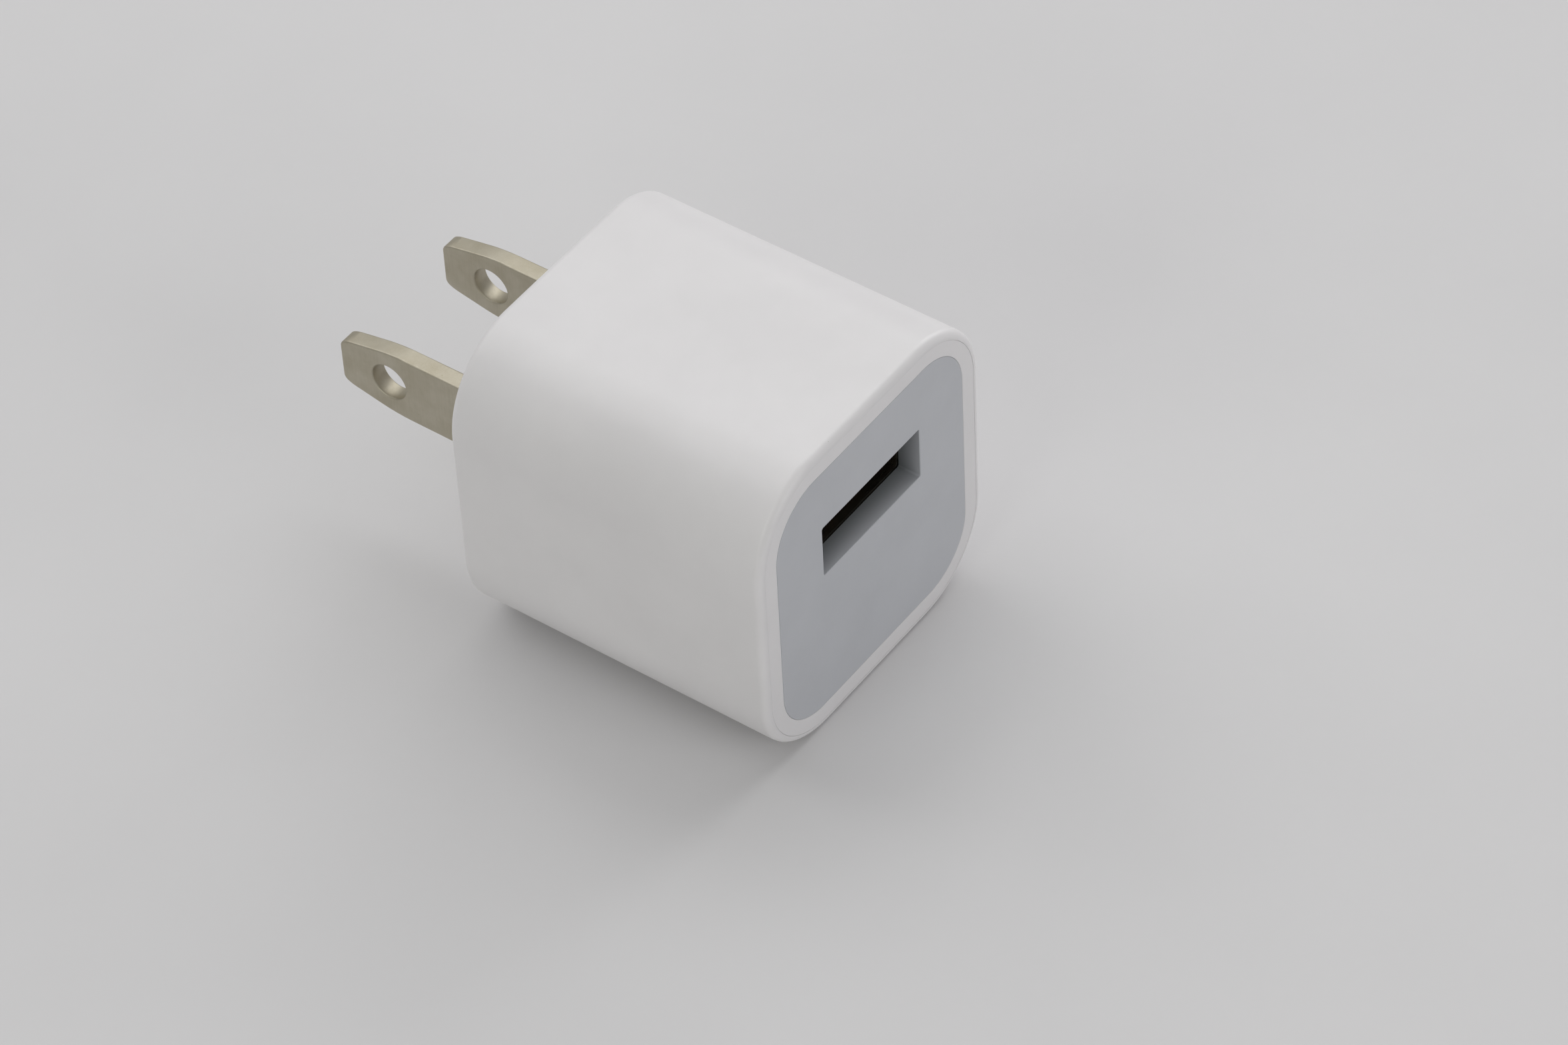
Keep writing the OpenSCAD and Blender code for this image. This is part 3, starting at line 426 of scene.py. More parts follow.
# Heat-shrunk sleeves: glossy and slightly rippled.
BLACK_SLEEVE = Finish(
    name="black_shrink_sleeve", colour="1b1c26", shade="22232e", roughness=(0.2, 0.3),
    grain_mm=1.5, grain_height_mm=0.02, coat=0.3,
)
GREEN_SLEEVE = Finish(
    name="green_shrink_sleeve", colour="1f4f3c", shade="1a4534", roughness=(0.2, 0.3),
    grain_mm=1.5, grain_height_mm=0.02, coat=0.3,
)
# Moulded rubber bung: dull black with hardly any highlight.
RUBBER = Finish(
    name="moulded_black_rubber", colour="26262a", shade="1f1f22", roughness=(0.6, 0.8),
    ior=1.52, grain_mm=0.2, grain_height_mm=0.004,
)
# Dipped blue epoxy: thick, glossy and slightly lumpy.
BLUE_EPOXY = Finish(
    name="dipped_blue_epoxy", colour="2a5fae", shade="245499", roughness=(0.14, 0.24),
    grain_mm=1.4, grain_height_mm=0.03, coat=0.5,
)
# Lacquer on a wire-wound resistor: matt grey-green, brushed on unevenly.
GREEN_LACQUER = Finish(
    name="green_resistor_lacquer", colour="6d8a63", shade="617d58", roughness=(0.4, 0.55),
    grain_mm=0.5, grain_height_mm=0.012,
)
# Transfer-moulded epoxy of chips and diodes: dull charcoal with a fine grain.
CHIP_EPOXY = Finish(
    name="transfer_moulded_epoxy", colour="202022", shade="262628", roughness=(0.5, 0.65),
    grain_mm=0.1, grain_height_mm=0.004,
)
# Fired ceramic of the small capacitors: tan with a slight gloss.
TAN_CERAMIC = Finish(
    name="fired_tan_ceramic", colour="b39a73", shade="a78e68", roughness=(0.3, 0.42),
    grain_mm=0.12, grain_height_mm=0.003,
)
# Calendered fish paper: matt, fibrous, cream.
FISH_PAPER = Finish(
    name="calendered_fish_paper", colour="d9d0b4", shade="cdc3a5", roughness=(0.65, 0.85),
    grain_mm=0.3, grain_height_mm=0.01, lay=Coordinates.ALONG_Z,
)
# Pale card under the charger: matt, with a faint tooth.
PALE_CARD = Finish(
    name="pale_card", colour="dcdbdc", shade="d9d8d9", roughness=(0.75, 0.9), grain_mm=0.8,
    grain_height_mm=0.003, cloud_mm=40.0,
)

SLOT_FINISHES: dict[str, Finish] = {
    "white_plastic": WHITE_PC,
    "grey_plastic": GREY_PC,
    "nickel_plate": NICKEL,
    "carrier_plastic": NYLON,
    "spring_brass": SPRING_BRASS,
    "port_steel": PORT_STEEL,
    "black_plastic": BLACK_MOULDING,
    "gold_contact": GOLD_FLASH,
    "board_laminate": SOLDER_MASK,
    "ferrite": FERRITE,
    "copper_wire": ENAMELLED_WIRE,
    "yellow_tape": POLYESTER_TAPE,
    "tinned_wire": TINNED_WIRE,
    "can_aluminium": CAN_ALUMINIUM,
    "black_sleeve": BLACK_SLEEVE,
    "green_sleeve": GREEN_SLEEVE,
    "rubber_bung": RUBBER,
    "blue_epoxy": BLUE_EPOXY,
    "green_coating": GREEN_LACQUER,
    "chip_black": CHIP_EPOXY,
    "chip_tan": TAN_CERAMIC,
    "fish_paper": FISH_PAPER,
}


# ---------------------------------------------------------------- mesh helpers


# Faces round each long corner of the casing.
CORNER_STEPS = 20
# Faces round the front and rear edges of the shell, a small edge, and a blade's corner.
FRONT_STEPS, REAR_STEPS, EDGE_STEPS, BEND_STEPS = 8, 6, 3, 4
# Faces round a blade's hole and a stake.
HOLE_STEPS, STAKE_STEPS = 48, 40
# Points nearer than this are taken as the same place, and doubles nearer than this are merged.
TOUCH, MERGE = 0.001 * MM, 0.0001 * MM
# Edges that turn more than this stay sharp in the shading.
SHARP = math.radians(32)
# A face whose normal is nearer an axis than this lies square to it.
FLAT = 0.99
# Blade edges that turn more than this are broken.
BREAK = math.radians(60)
# The four corners of a rounded rectangle, as sides in X and Z.
SIDES = ((-1.0, -1.0), (1.0, -1.0), (-1.0, 1.0), (1.0, 1.0))
UPRIGHT = Matrix.Rotation(math.radians(90), 4, "X")
SIDEWAYS = Matrix.Rotation(math.radians(90), 4, "Y")
EVEN_NORMALS = "even_normals"


@dataclass(frozen=True)
class Ring:
    """A rounded rectangle in X and Z at one depth, which a skin passes through."""

    y: float
    half_w: float
    half_h: float
    radius: float
    centre_z: float = 0.0

    def corner(self, side_x: float, side_z: float) -> Vector:
        """Centre of one corner's round."""
        return Vector(
            (
                side_x * (self.half_w - self.radius),
                self.y,
                self.centre_z + side_z * (self.half_h - self.radius),
            )
        )

    def holds(self, point: Vector) -> bool:
        """Tells whether a point lies on the ring.

        Args:
            point: The point to test.

        Returns:
            True if it is on the ring's line.
        """
        over_x = abs(point.x) - (self.half_w - self.radius)
        over_z = abs(point.z - self.centre_z) - (self.half_h - self.radius)
        away = math.hypot(max(over_x, 0.0), max(over_z, 0.0)) + min(max(over_x, over_z), 0.0)
        return abs(point.y - self.y) < TOUCH and abs(away - self.radius) < TOUCH


def first_ring(bm: bmesh.types.BMesh, ring: Ring) -> bmesh.types.BMFace:
    """Draws a rounded rectangle as one face.

    Args:
        bm: The mesh to draw in.
        ring: Its size and place.

    Returns:
        The face.
    """
    made = bmesh.ops.create_grid(bm, x_segments=1, y_segments=1, size=1.0)["verts"]
    scale = Matrix.Diagonal((ring.half_w, 1.0, ring.half_h, 1.0))
    place = Matrix.Translation((0.0, ring.y, ring.centre_z))
    bmesh.ops.transform(bm, matrix=place @ scale @ UPRIGHT, verts=made)
    rounded = bmesh.ops.bevel(
        bm,
        geom=made,
        offset=ring.radius,
        offset_type="OFFSET",
        segments=CORNER_STEPS,
        profile=0.5,
        affect="VERTICES",
        material=-1,
    )
    return rounded["verts"][0].link_faces[0]


def reshape(
    bm: bmesh.types.BMesh, verts: Sequence[bmesh.types.BMVert], old: Ring, new: Ring
) -> None:
    """Turns one rounded rectangle into another, corner by corner.

    Args:
        bm: The mesh.
        verts: The vertices that lie on the old ring.
        old: The ring that they lie on.
        new: The ring that they move to.
    """
    grow = new.radius / old.radius
    corners = [
        [v for v in verts if v.co.x * side_x > 0 and (v.co.z - old.centre_z) * side_z > 0]
        for side_x, side_z in SIDES
    ]
    for corner, (side_x, side_z) in zip(corners, SIDES):
        start, end = old.corner(side_x, side_z), new.corner(side_x, side_z)
        bmesh.ops.scale(
            bm, vec=(grow, 1.0, grow), space=Matrix.Translation(-start), verts=corner
        )
        bmesh.ops.translate(bm, vec=end - start, verts=corner)


def skin(bm: bmesh.types.BMesh, rings: Sequence[Ring]) -> None:
    """Draws one skin through rounded rectangles in order, by growing each from the last.

    A skin whose last ring is its first is closed on itself; another has both ends filled.

    Args:
        bm: The mesh to draw in.
        rings: The rectangles, in order along the skin.
    """
    closed = rings[0] == rings[-1]
    start = first_ring(bm, rings[0])
    edges = list(start.edges)
    if closed:
        bmesh.ops.delete(bm, geom=[start], context="FACES_ONLY")
    for old, new in zip(rings, rings[1:]):
        grown = bmesh.ops.extrude_edge_only(bm, edges=edges)["geom"]
        verts = [g for g in grown if isinstance(g, bmesh.types.BMVert)]
        edges = [g for g in grown if isinstance(g, bmesh.types.BMEdge)]
        reshape(bm, verts, old, new)
    if not closed:
        bmesh.ops.contextual_create(bm, geom=edges)
    bmesh.ops.remove_doubles(bm, verts=bm.verts, dist=MERGE)
    bmesh.ops.recalc_face_normals(bm, faces=bm.faces)


def edges_on(bm: bmesh.types.BMesh, ring: Ring) -> list[bmesh.types.BMEdge]:
    """Edges of a mesh that run along one ring."""
    return [e for e in bm.edges if all(ring.holds(v.co) for v in e.verts)]


def soften(
    bm: bmesh.types.BMesh,
    edges: Iterable[bmesh.types.BMEdge],
    radius: float,
    steps: int = EDGE_STEPS,
) -> None:
    """Rounds edges with a small radius.

    Args:
        bm: The mesh.
        edges: The edges to round; any that are gone are passed over.
        radius: Width of the round, in metres.
        steps: Faces across the round.
    """
    bmesh.ops.bevel(
        bm,
        geom=[e for e in edges if e.is_valid],
        offset=radius,
        offset_type="OFFSET",
        segments=steps,
        profile=0.5,
        affect="EDGES",
        clamp_overlap=True,
        material=-1,
    )


def placed(
    bm: bmesh.types.BMesh, name: str, material: bpy.types.Material
) -> bpy.types.Object:
    """Turns a bmesh into an object of the scene, at the origin.

    Args:
        bm: The finished mesh, which is freed.
        name: The object's name.
        material: Its material.

    Returns:
        The new object.
    """
    mesh = bpy.data.meshes.new(name)
    bm.to_mesh(mesh)
    bm.free()
    mesh.materials.append(material)
    made = bpy.data.objects.new(name, mesh)
    bpy.context.scene.collection.objects.link(made)
    return made


def finish_piece(bm: bmesh.types.BMesh, name: str, finish: Finish) -> bpy.types.Object:
    """Turns a bmesh into a shaded object at the origin.

    Args:
        bm: The finished mesh, which is freed.
        name: The piece's name.
        finish: Its finish.

    Returns:
        The new object.
    """
    bmesh.ops.remove_doubles(bm, verts=bm.verts, dist=MERGE)
    bmesh.ops.recalc_face_normals(bm, faces=bm.faces)
    for face in bm.faces:
        face.smooth = True
    for edge in bm.edges:
        edge.smooth = len(edge.link_faces) == 2 and edge.calc_face_angle(0.0) < SHARP
    piece = placed(bm, name, finish.build())
    even = piece.modifiers.new(EVEN_NORMALS, "WEIGHTED_NORMAL")
    even.keep_sharp = True
    even.weight = 60
    return piece


def united(base: bpy.types.Object, extra: bmesh.types.BMesh) -> bpy.types.Object:
    """Joins solid blocks to a piece, as one moulding.

    Args:
        base: The piece.
        extra: The blocks, which run a little way into it.

    Returns:
        The same piece with the blocks grown into it.
    """
    bmesh.ops.recalc_face_normals(extra, faces=extra.faces)
    tool = placed(extra, "grown", base.data.materials[0])
    join = base.modifiers.new("join", "BOOLEAN")
    join.operation = "UNION"
    join.solver = "EXACT"
    join.object = tool
    even = base.modifiers[EVEN_NORMALS]
    even.show_viewport = False
    graph = bpy.context.evaluated_depsgraph_get()
    whole = bpy.data.meshes.new_from_object(base.evaluated_get(graph))
    even.show_viewport = True
    base.modifiers.remove(join)
    bpy.data.objects.remove(tool)
    base.data = whole
    return base


def mount(piece: bpy.types.Object, slot: str, *nodes: str) -> None:
    """Puts a finished piece on the charger in place of its CAD nodes.

    Args:
        piece: The new piece.
        slot: The record's material slot; not used.
        nodes: The CAD nodes it stands for.
    """
    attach(piece, BODY)
    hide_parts(*nodes)
    LOG.info("%s: %d faces, stands for %s", piece.name, len(piece.data.polygons), nodes)


# ---------------------------------------------------------------- casing


@dataclass
class Casing:
    """White shell and front ring with the grey face plate between them."""

    corner: float = 7.5 * MM
    wall: float = 1.6 * MM
    rear_wall: float = 2.0 * MM
    lip: float = 0.7 * MM
    rear_round: float = 0.6 * MM
    front_round: float = 0.66 * MM
    cap_depth: float = 1.8 * MM
    skirt_wall: float = 1.0 * MM
    plate_radius: float = 4.9 * MM
    plate_step: float = 1.2 * MM
    flange: float = 1.0 * MM
    seam: float = 0.05 * MM
    seam_seen: float = 0.012 * MM
    wall_reach: float = 0.01 * MM
    slide: float = 0.1 * MM
    bond: float = 0.3 * MM
    rail_h: float = 1.0 * MM
    rail_in: float = 0.9 * MM
    stake_d: float = 1.8 * MM
    stake_head_d: float = 2.7 * MM
    stake_head_t: float = 0.6 * MM
    stake_inset: float = 1.2 * MM
    stake_edge: float = 0.3 * MM
    window_half: tuple[float, float] = (6.18 * MM, 2.44 * MM)
    window_z: float = 3.85 * MM
    window_radius: float = 0.16 * MM
    seam_round: float = 0.03 * MM
    plate_round: float = 0.05 * MM
    window_round: float = 0.08 * MM

    def build(self, blades: Blades) -> None:
        """Builds the three pieces and puts them on the charger.

        Args:
            blades: The blades, for their slots in the rear wall.
        """
        mount(self.shell(blades), "white_plastic", "body_shell")
        mount(self.front_ring(), "white_plastic", "front_cap")
        mount(self.face_plate(), "grey_plastic", "face_plate")

    def shell(self, blades: Blades) -> bpy.types.Object:
        """Hollow shell with a rebate at its mouth and two slots in its rear wall.

        Args:
            blades: The blades, for the slots.

        Returns:
            The shell.
        """
        low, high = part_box("body_shell")
        half = (high.x, high.z)
        inner = (half[0] - self.wall, half[1] - self.wall)
        lip = (half[0] - self.lip, half[1] - self.lip)
        ledge_y = low.y + self.cap_depth
        cavity_r = self.corner - self.wall
        bm = bmesh.new()
        rings = [
            Ring(high.y, *half, self.corner),
            Ring(low.y, *half, self.corner),
            Ring(low.y, *lip, self.corner - self.lip),
            Ring(ledge_y, *lip, self.corner - self.lip),
            Ring(ledge_y, *inner, cavity_r),
            Ring(high.y - self.rear_wall, *inner, cavity_r),
        ]
        skin(bm, rings)
        soften(bm, edges_on(bm, rings[1]), self.front_round, FRONT_STEPS)
        soften(bm, edges_on(bm, rings[0]), self.rear_round, REAR_STEPS)
        for slot_x in (-blades.pitch / 2, blades.pitch / 2):
            self._cut_slot(bm, slot_x, blades)
        shell = finish_piece(bm, "case_shell", WHITE_PC)
        return united(shell, self._stakes_and_rails(blades))

    def _stakes_and_rails(self, blades: Blades) -> bmesh.types.BMesh:
        """Four headed stakes for the retainer, and the rails that hold the board.

        Args:
            blades: The blades, for their rise.

        Returns:
            The solids, which run into the walls.
        """
        _, shell_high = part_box("body_shell")
        ret_low, ret_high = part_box("blade_retainer")
        board_low, board_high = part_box("main_board")
        _, cap_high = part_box("front_cap")
        bm = bmesh.new()
        root_y = shell_high.y - self.rear_wall + self.bond
        head_end = ret_low.y - self.stake_head_t
        stake_x = (
            blades.pitch / 2 - blades.thickness / 2 - self.stake_head_d / 2 - self.stake_inset
        )
        stake_z = (ret_high.z - ret_low.z) / 2 - self.stake_head_d / 2 - self.stake_edge
        rods = (
            (self.stake_d, head_end, root_y),
            (self.stake_head_d, head_end, ret_low.y),
        )
        for side_x, side_z in SIDES:
            for diameter, start, end in rods:
                place = Matrix.Translation(
                    (side_x * stake_x, (start + end) / 2, blades.rise + side_z * stake_z)
                )
                bmesh.ops.create_cone(
                    bm,
                    cap_ends=True,
                    segments=STAKE_STEPS,
                    radius1=diameter / 2,
                    radius2=diameter / 2,
                    depth=end - start,
                    matrix=place @ UPRIGHT,
                )
        inner_x = shell_high.x - self.wall
        wide = self.rail_in + self.bond
        rail_y = (cap_high.y + self.slide, root_y)
        levels = (
            board_high.z + self.slide / 2 + self.rail_h / 2,
            board_low.z - self.slide / 2 - self.rail_h / 2,
        )
        for side in (-1, 1):
            for level in levels:
                middle = (side * (inner_x - self.rail_in + wide / 2), sum(rail_y) / 2, level)
                size = Matrix.Diagonal((wide, rail_y[1] - rail_y[0], self.rail_h, 1.0))
                bmesh.ops.create_cube(bm, size=1.0, matrix=Matrix.Translation(middle) @ size)
        return bm

    def _cut_slot(self, bm: bmesh.types.BMesh, slot_x: float, blades: Blades) -> None:
        """Opens one blade slot through the rear wall.

        Args:
            bm: The shell's mesh.
            slot_x: Centre of the slot.
            blades: The blades, for the slot's size.
        """
        _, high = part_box("body_shell")
        half_x = blades.thickness / 2 + self.seam
        half_z = blades.width / 2 + self.seam
        centre = Vector((slot_x, 0.0, blades.rise))
        sides = (
            (Vector((half_x, 0, 0)), Vector((1, 0, 0))),
            (Vector((-half_x, 0, 0)), Vector((1, 0, 0))),
            (Vector((0, 0, half_z)), Vector((0, 0, 1))),
            (Vector((0, 0, -half_z)), Vector((0, 0, 1))),
        )
        depths = (high.y, high.y - self.rear_wall)

        def in_rear_wall(face: bmesh.types.BMFace) -> bool:
            """Tells whether a face lies on either side of the rear wall."""
            depth = face.calc_center_median().y
            near = any(abs(depth - y) < self.wall_reach for y in depths)
            return near and abs(face.normal.y) > FLAT

        for offset, normal in sides:
            walls = [f for f in bm.faces if in_rear_wall(f)]
            geom = list({v for f in walls for v in f.verts})
            geom += list({e for f in walls for e in f.edges}) + walls
            bmesh.ops.bisect_plane(
                bm, geom=geom, dist=MERGE / 10, plane_co=centre + offset, plane_no=normal
            )
        openings = [
            f
            for f in bm.faces
            if in_rear_wall(f)
            and abs(f.calc_center_median().x - slot_x) < half_x / 2
            and abs(f.calc_center_median().z - blades.rise) < half_z / 2
        ]
        rims = [list(f.edges) for f in openings]
        bmesh.ops.delete(bm, geom=openings, context="FACES_ONLY")
        bmesh.ops.bridge_loops(bm, edges=[e for rim in rims for e in rim])

    def front_ring(self) -> bpy.types.Object:
        """White ring inside the shell's lip, with a ledge for the plate and a skirt behind.

        Returns:
            The ring.
        """
        low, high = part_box("front_cap")
        _, plate_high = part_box("face_plate")
        shell_low, shell_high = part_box("body_shell")
        half = tuple(s - self.lip - self.seam_seen for s in (shell_high.x, shell_high.z))
        outer_r = self.corner - self.lip - self.seam_seen
        skirt = (
            shell_high.x - self.wall - self.slide,
            shell_high.z - self.wall - self.slide,
        )
        skirt_r = self.corner - self.wall - self.slide
        recess = (plate_high.x + self.seam_seen, plate_high.z + self.seam_seen)
        recess_r = self.plate_radius + self.seam_seen
        opening = (plate_high.x - self.plate_step, plate_high.z - self.plate_step)
        opening_r = self.plate_radius - self.plate_step
        ledge_y = low.y + self.flange + self.seam
        back_y = shell_low.y + self.cap_depth
        bm = bmesh.new()
        skirt_in = tuple(s - self.skirt_wall for s in skirt)
        rings = [
            Ring(low.y, *half, outer_r),
            Ring(back_y, *half, outer_r),
            Ring(back_y, *skirt, skirt_r),
            Ring(high.y, *skirt, skirt_r),
            Ring(high.y, *skirt_in, skirt_r - self.skirt_wall),
            Ring(back_y, *skirt_in, skirt_r - self.skirt_wall),
            Ring(back_y, *opening, opening_r),
            Ring(ledge_y, *opening, opening_r),
            Ring(ledge_y, *recess, recess_r),
            Ring(low.y, *recess, recess_r),
            Ring(low.y, *half, outer_r),
        ]
        skin(bm, rings)
        soften(bm, edges_on(bm, rings[0]), self.seam_round)
        soften(bm, edges_on(bm, rings[-2]), self.plate_round)
        return finish_piece(bm, "front_ring", WHITE_PC)

    def face_plate(self) -> bpy.types.Object:
        """Grey plate, stepped at its edge, with the port window through it.

        Returns:
            The plate.
        """
        low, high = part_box("face_plate")
        half = (high.x, high.z)
        boss = tuple(s - self.plate_step - self.seam for s in half)
        boss_r = self.plate_radius - self.plate_step - self.seam
        window = (*self.window_half, self.window_radius, self.window_z)
        bm = bmesh.new()
        rings = [
            Ring(low.y, *half, self.plate_radius),
            Ring(low.y + self.flange, *half, self.plate_radius),
            Ring(low.y + self.flange, *boss, boss_r),
            Ring(high.y, *boss, boss_r),
            Ring(high.y, *window),
            Ring(low.y, *window),
            Ring(low.y, *half, self.plate_radius),
        ]
        skin(bm, rings)
        soften(bm, edges_on(bm, rings[0]), self.plate_round)
        soften(bm, edges_on(bm, rings[-2]), self.window_round)
        return finish_piece(bm, "grey_face_plate", GREY_PC)


# ---------------------------------------------------------------- blades


@dataclass
class Blades:
    """Two flat plated blades with tapered tips, shoulders and solder tails."""

    pitch: float = 12.7 * MM
    thickness: float = 1.5 * MM
    width: float = 6.3 * MM
    rise: float = 0.45 * MM
    taper: float = 5.1 * MM
    nose_width: float = 4.5 * MM
    nose: float = 0.7 * MM
    tip_width: float = 3.7 * MM
    hole: float = 3.2 * MM
    hole_back: float = 4.6 * MM
    shoulder: float = 0.9 * MM
    shoulder_thickness: float = 1.2 * MM
    wall_gap: float = 0.05 * MM
    rear_wall: float = 2.0 * MM
    tail_under_board: float = 0.4 * MM
    edge_round: float = 0.16 * MM
    corner_round: float = 0.36 * MM
    bend_round: float = 1.3 * MM

    def build(self) -> None:
        """Builds both blades and puts them on the charger."""
        for node in ("blade_left", "blade_right"):
            mount(self.blade(node), "nickel_plate", node)

    def outline(self, node: str) -> list[tuple[float, float]]:
        """Outline of a blade as depth and height.

        Args:
            node: The CAD node, for the tip and tail.

        Returns:
            Points in order round the blade.
        """
        low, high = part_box(node)
        board_low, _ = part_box("main_board")
        tail_top = board_low.z - self.tail_under_board
        half, nose, tip = self.width / 2, self.nose_width / 2, self.tip_width / 2
        shoulder_y = -self.rear_wall - self.wall_gap
        inner_y = shoulder_y - self.shoulder_thickness
        rise = self.rise
        upper = [
            (inner_y, rise + half + self.shoulder),
            (shoulder_y, rise + half + self.shoulder),
            (shoulder_y, rise + half),
            (high.y - self.taper, rise + half),
            (high.y - self.nose, rise + nose),
            (high.y, rise + tip),
        ]
        lower = [(y, 2 * rise - z) for y, z in reversed(upper)]
        bottom = rise - half
        tail = [(inner_y, bottom), (low.y, bottom), (low.y, tail_top), (inner_y, tail_top)]
        return upper + lower + tail

    def blade(self, node: str) -> bpy.types.Object:
        """One blade: its outline with the hole, thickened, with rounded edges.

        Args:
            node: The CAD node that it stands for.

        Returns:
            The blade.
        """
        low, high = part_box(node)
        bm = bmesh.new()
        corners = [bm.verts.new((low.x, y, z)) for y, z in self.outline(node)]
        edges = [bm.edges.new(pair) for pair in zip(corners, corners[1:] + corners[:1])]
        place = Matrix.Translation((low.x, high.y - self.hole_back, self.rise))
        ring = bmesh.ops.create_circle(
            bm,
            cap_ends=False,
            radius=self.hole / 2,
            segments=HOLE_STEPS,
            matrix=place @ SIDEWAYS,
        )["verts"]
        hole_edges = list({e for v in ring for e in v.link_edges})
        bmesh.ops.triangle_fill(bm, use_beauty=True, edges=edges + hole_edges)
        bmesh.ops.dissolve_limit(
            bm, angle_limit=math.radians(1), verts=list(bm.verts), edges=list(bm.edges)
        )
        grown = bmesh.ops.extrude_face_region(bm, geom=list(bm.faces))["geom"]
        moved = [v for v in grown if isinstance(v, bmesh.types.BMVert)]
        bmesh.ops.translate(bm, verts=moved, vec=(high.x - low.x, 0.0, 0.0))
        bmesh.ops.recalc_face_normals(bm, faces=bm.faces)
        bends = [
            e
            for e in bm.edges
            if abs(e.verts[0].co.x - e.verts[1].co.x) > TOUCH
            and high.y - self.taper - TOUCH < e.verts[0].co.y
            and (e.verts[0].co - place.translation).yz.length > self.hole / 2 + TOUCH
        ]
        nose_y = high.y - self.nose - TOUCH
        tips = [e for e in bends if e.verts[0].co.y > nose_y]
        shallow = [e for e in bends if e.verts[0].co.y < nose_y]
        soften(bm, shallow, self.bend_round, BEND_STEPS)
        soften(bm, tips, self.corner_round, BEND_STEPS)
        rims = [
            e
            for e in bm.edges
            if len(e.link_faces) == 2
            and e.calc_face_angle(0.0) > BREAK
            and max(v.co.y for v in e.verts) > -self.rear_wall
        ]
        soften(bm, rims, self.edge_round)
        return finish_piece(bm, f"{node}_plated", NICKEL)


# ---------------------------------------------------------------- inside parts


@dataclass
class InsideParts:
    """The CAD nodes that stay as they are and only need their real finishes."""

    def dress(self, frame: dict[str, Any]) -> None:
        """Gives every CAD node the finish of its material slot.

        Args:
            frame: The loaded frame.
        """
        for entry in frame["record"]["subparts"]:
            node = frame["nodes"][entry["node"]]
            finish = SLOT_FINISHES[entry["material_slot"]]
            node.data.materials.clear()
            node.data.materials.append(finish.build())
            LOG.info("%s: %s", entry["node"], finish.name)


# ---------------------------------------------------------------- studio


@dataclass(frozen=True)
class SoftBox:
    """One soft light: its place and side in metres, its power in watts and its tint."""

    name: str
    place: tuple[float, float, float]
    size: float
    power: float
    tint: str = "ffffff"


# The point that the lights aim at, in metres.
CHARGER_MIDDLE = Vector((0.0, -0.014, 0.0))
# Place and side in metres, power in watts.
SOFT_BOXES = (
    SoftBox("right_high", (0.52, 0.06, 0.65), 0.7, 2.05),
    SoftBox("back_high", (0.06, 0.52, 0.65), 0.7, 2.0),
    SoftBox("left_high", (-0.55, 0.0, 0.65), 0.5, 0.45),
    SoftBox("front_low", (0.0, -0.8, 0.3), 0.5, 1.35),
    SoftBox("left_low", (-0.8, 0.0, 0.3), 0.5, 0.93, "fcfff3"),
    SoftBox("right_low", (0.8, 0.0, 0.3), 0.5, 1.1),
)


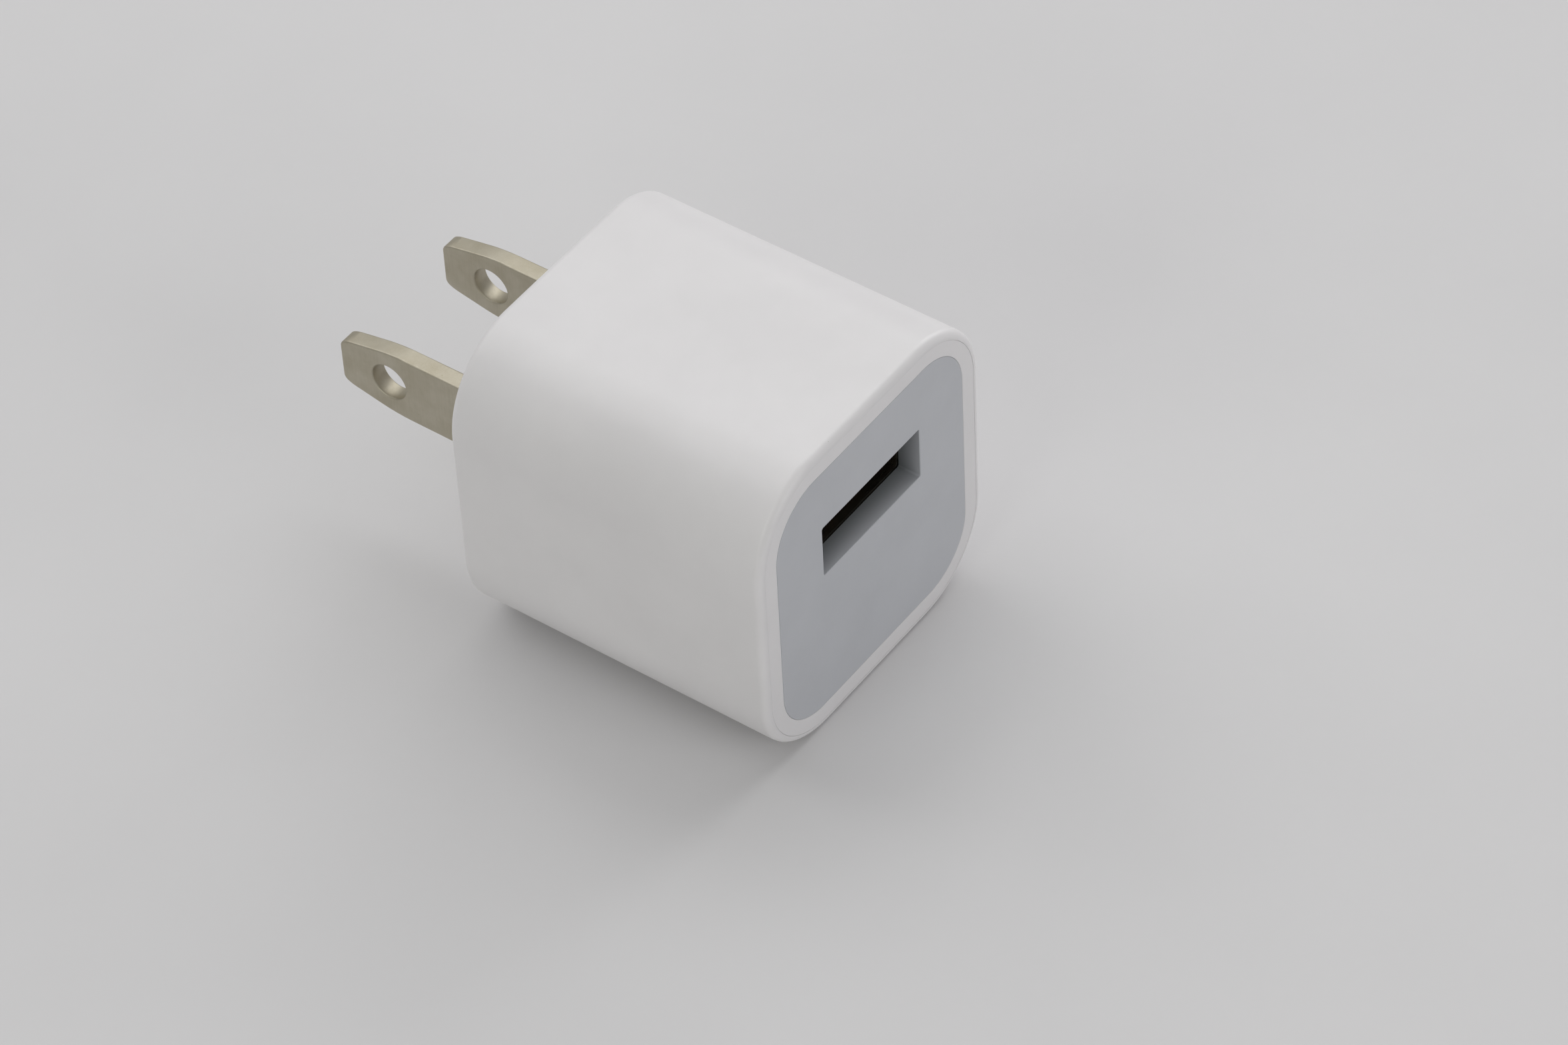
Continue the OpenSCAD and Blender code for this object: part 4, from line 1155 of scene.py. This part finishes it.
@dataclass
class Studio:
    """Pale floor, soft lights and the camera."""

    azimuth_deg: float = -52.09
    elevation_deg: float = 45.46
    roll_deg: float = -3.14
    distance: float = 455.85 * MM
    aim: tuple[float, float, float] = (3.62 * MM, -17.19 * MM, -7.58 * MM)
    lens_mm: float = 137.7
    sensor_mm: float = 36.0
    near_clip: float = 10 * MM
    floor_size: float = 3.0
    sky_strength: float = 0.26

    def build(self) -> None:
        """Makes the floor, the lights, the sky and the camera."""
        self.floor()
        self.lights()
        self.camera()

    def floor(self) -> None:
        """Flat pale floor under the charger."""
        low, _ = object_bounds()
        bm = bmesh.new()
        made = bmesh.ops.create_grid(bm, x_segments=1, y_segments=1, size=self.floor_size / 2)
        bmesh.ops.translate(bm, verts=made["verts"], vec=(0.0, 0.0, low[2]))
        placed(bm, "pale_floor", PALE_CARD.build())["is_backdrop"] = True

    def lights(self) -> None:
        """Soft boxes round the charger, under an even sky."""
        for box in SOFT_BOXES:
            self._area(box)
        world = bpy.data.worlds.new("soft_sky")
        world.use_nodes = True
        sky = world.node_tree.nodes["Background"]
        sky.inputs["Color"].default_value = linear("ffffff")
        sky.inputs["Strength"].default_value = self.sky_strength
        bpy.context.scene.world = world
        bpy.context.scene.view_settings.view_transform = "Standard"

    @staticmethod
    def _area(box: SoftBox) -> None:
        """Adds one soft square light aimed at the charger.

        Args:
            box: Its place, size and power.
        """
        data = bpy.data.lights.new(box.name, "AREA")
        data.shape = "SQUARE"
        data.size = box.size
        data.energy = box.power
        data.color = linear(box.tint)[:3]
        lamp = bpy.data.objects.new(box.name, data)
        lamp.location = box.place
        lamp.rotation_euler = (CHARGER_MIDDLE - Vector(box.place)).to_track_quat(
            "-Z", "Y"
        ).to_euler()
        bpy.context.scene.collection.objects.link(lamp)

    def camera(self) -> None:
        """Long-lens camera above and to the left of the port face."""
        a, e = math.radians(self.azimuth_deg), math.radians(self.elevation_deg)
        back = Vector((math.sin(a) * math.cos(e), -math.cos(a) * math.cos(e), math.sin(e)))
        data = bpy.data.cameras.new("studio_camera")
        data.lens = self.lens_mm
        data.sensor_fit = "HORIZONTAL"
        data.sensor_width = self.sensor_mm
        data.clip_start = self.near_clip
        camera = bpy.data.objects.new("studio_camera", data)
        turn = back.to_track_quat("Z", "Y").to_matrix().to_4x4()
        roll = Matrix.Rotation(math.radians(self.roll_deg), 4, "Z")
        camera.matrix_world = (
            Matrix.Translation(Vector(self.aim) + back * self.distance) @ turn @ roll
        )
        bpy.context.scene.collection.objects.link(camera)
        bpy.context.scene.camera = camera


def main() -> None:
    """Loads the frame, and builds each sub-assembly."""
    logging.basicConfig(level=logging.INFO, format="%(name)s: %(message)s")
    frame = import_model()
    blades = Blades()
    InsideParts().dress(frame)
    Casing().build(blades)
    blades.build()
    Studio().build()


if __name__ == "__main__":
    main()
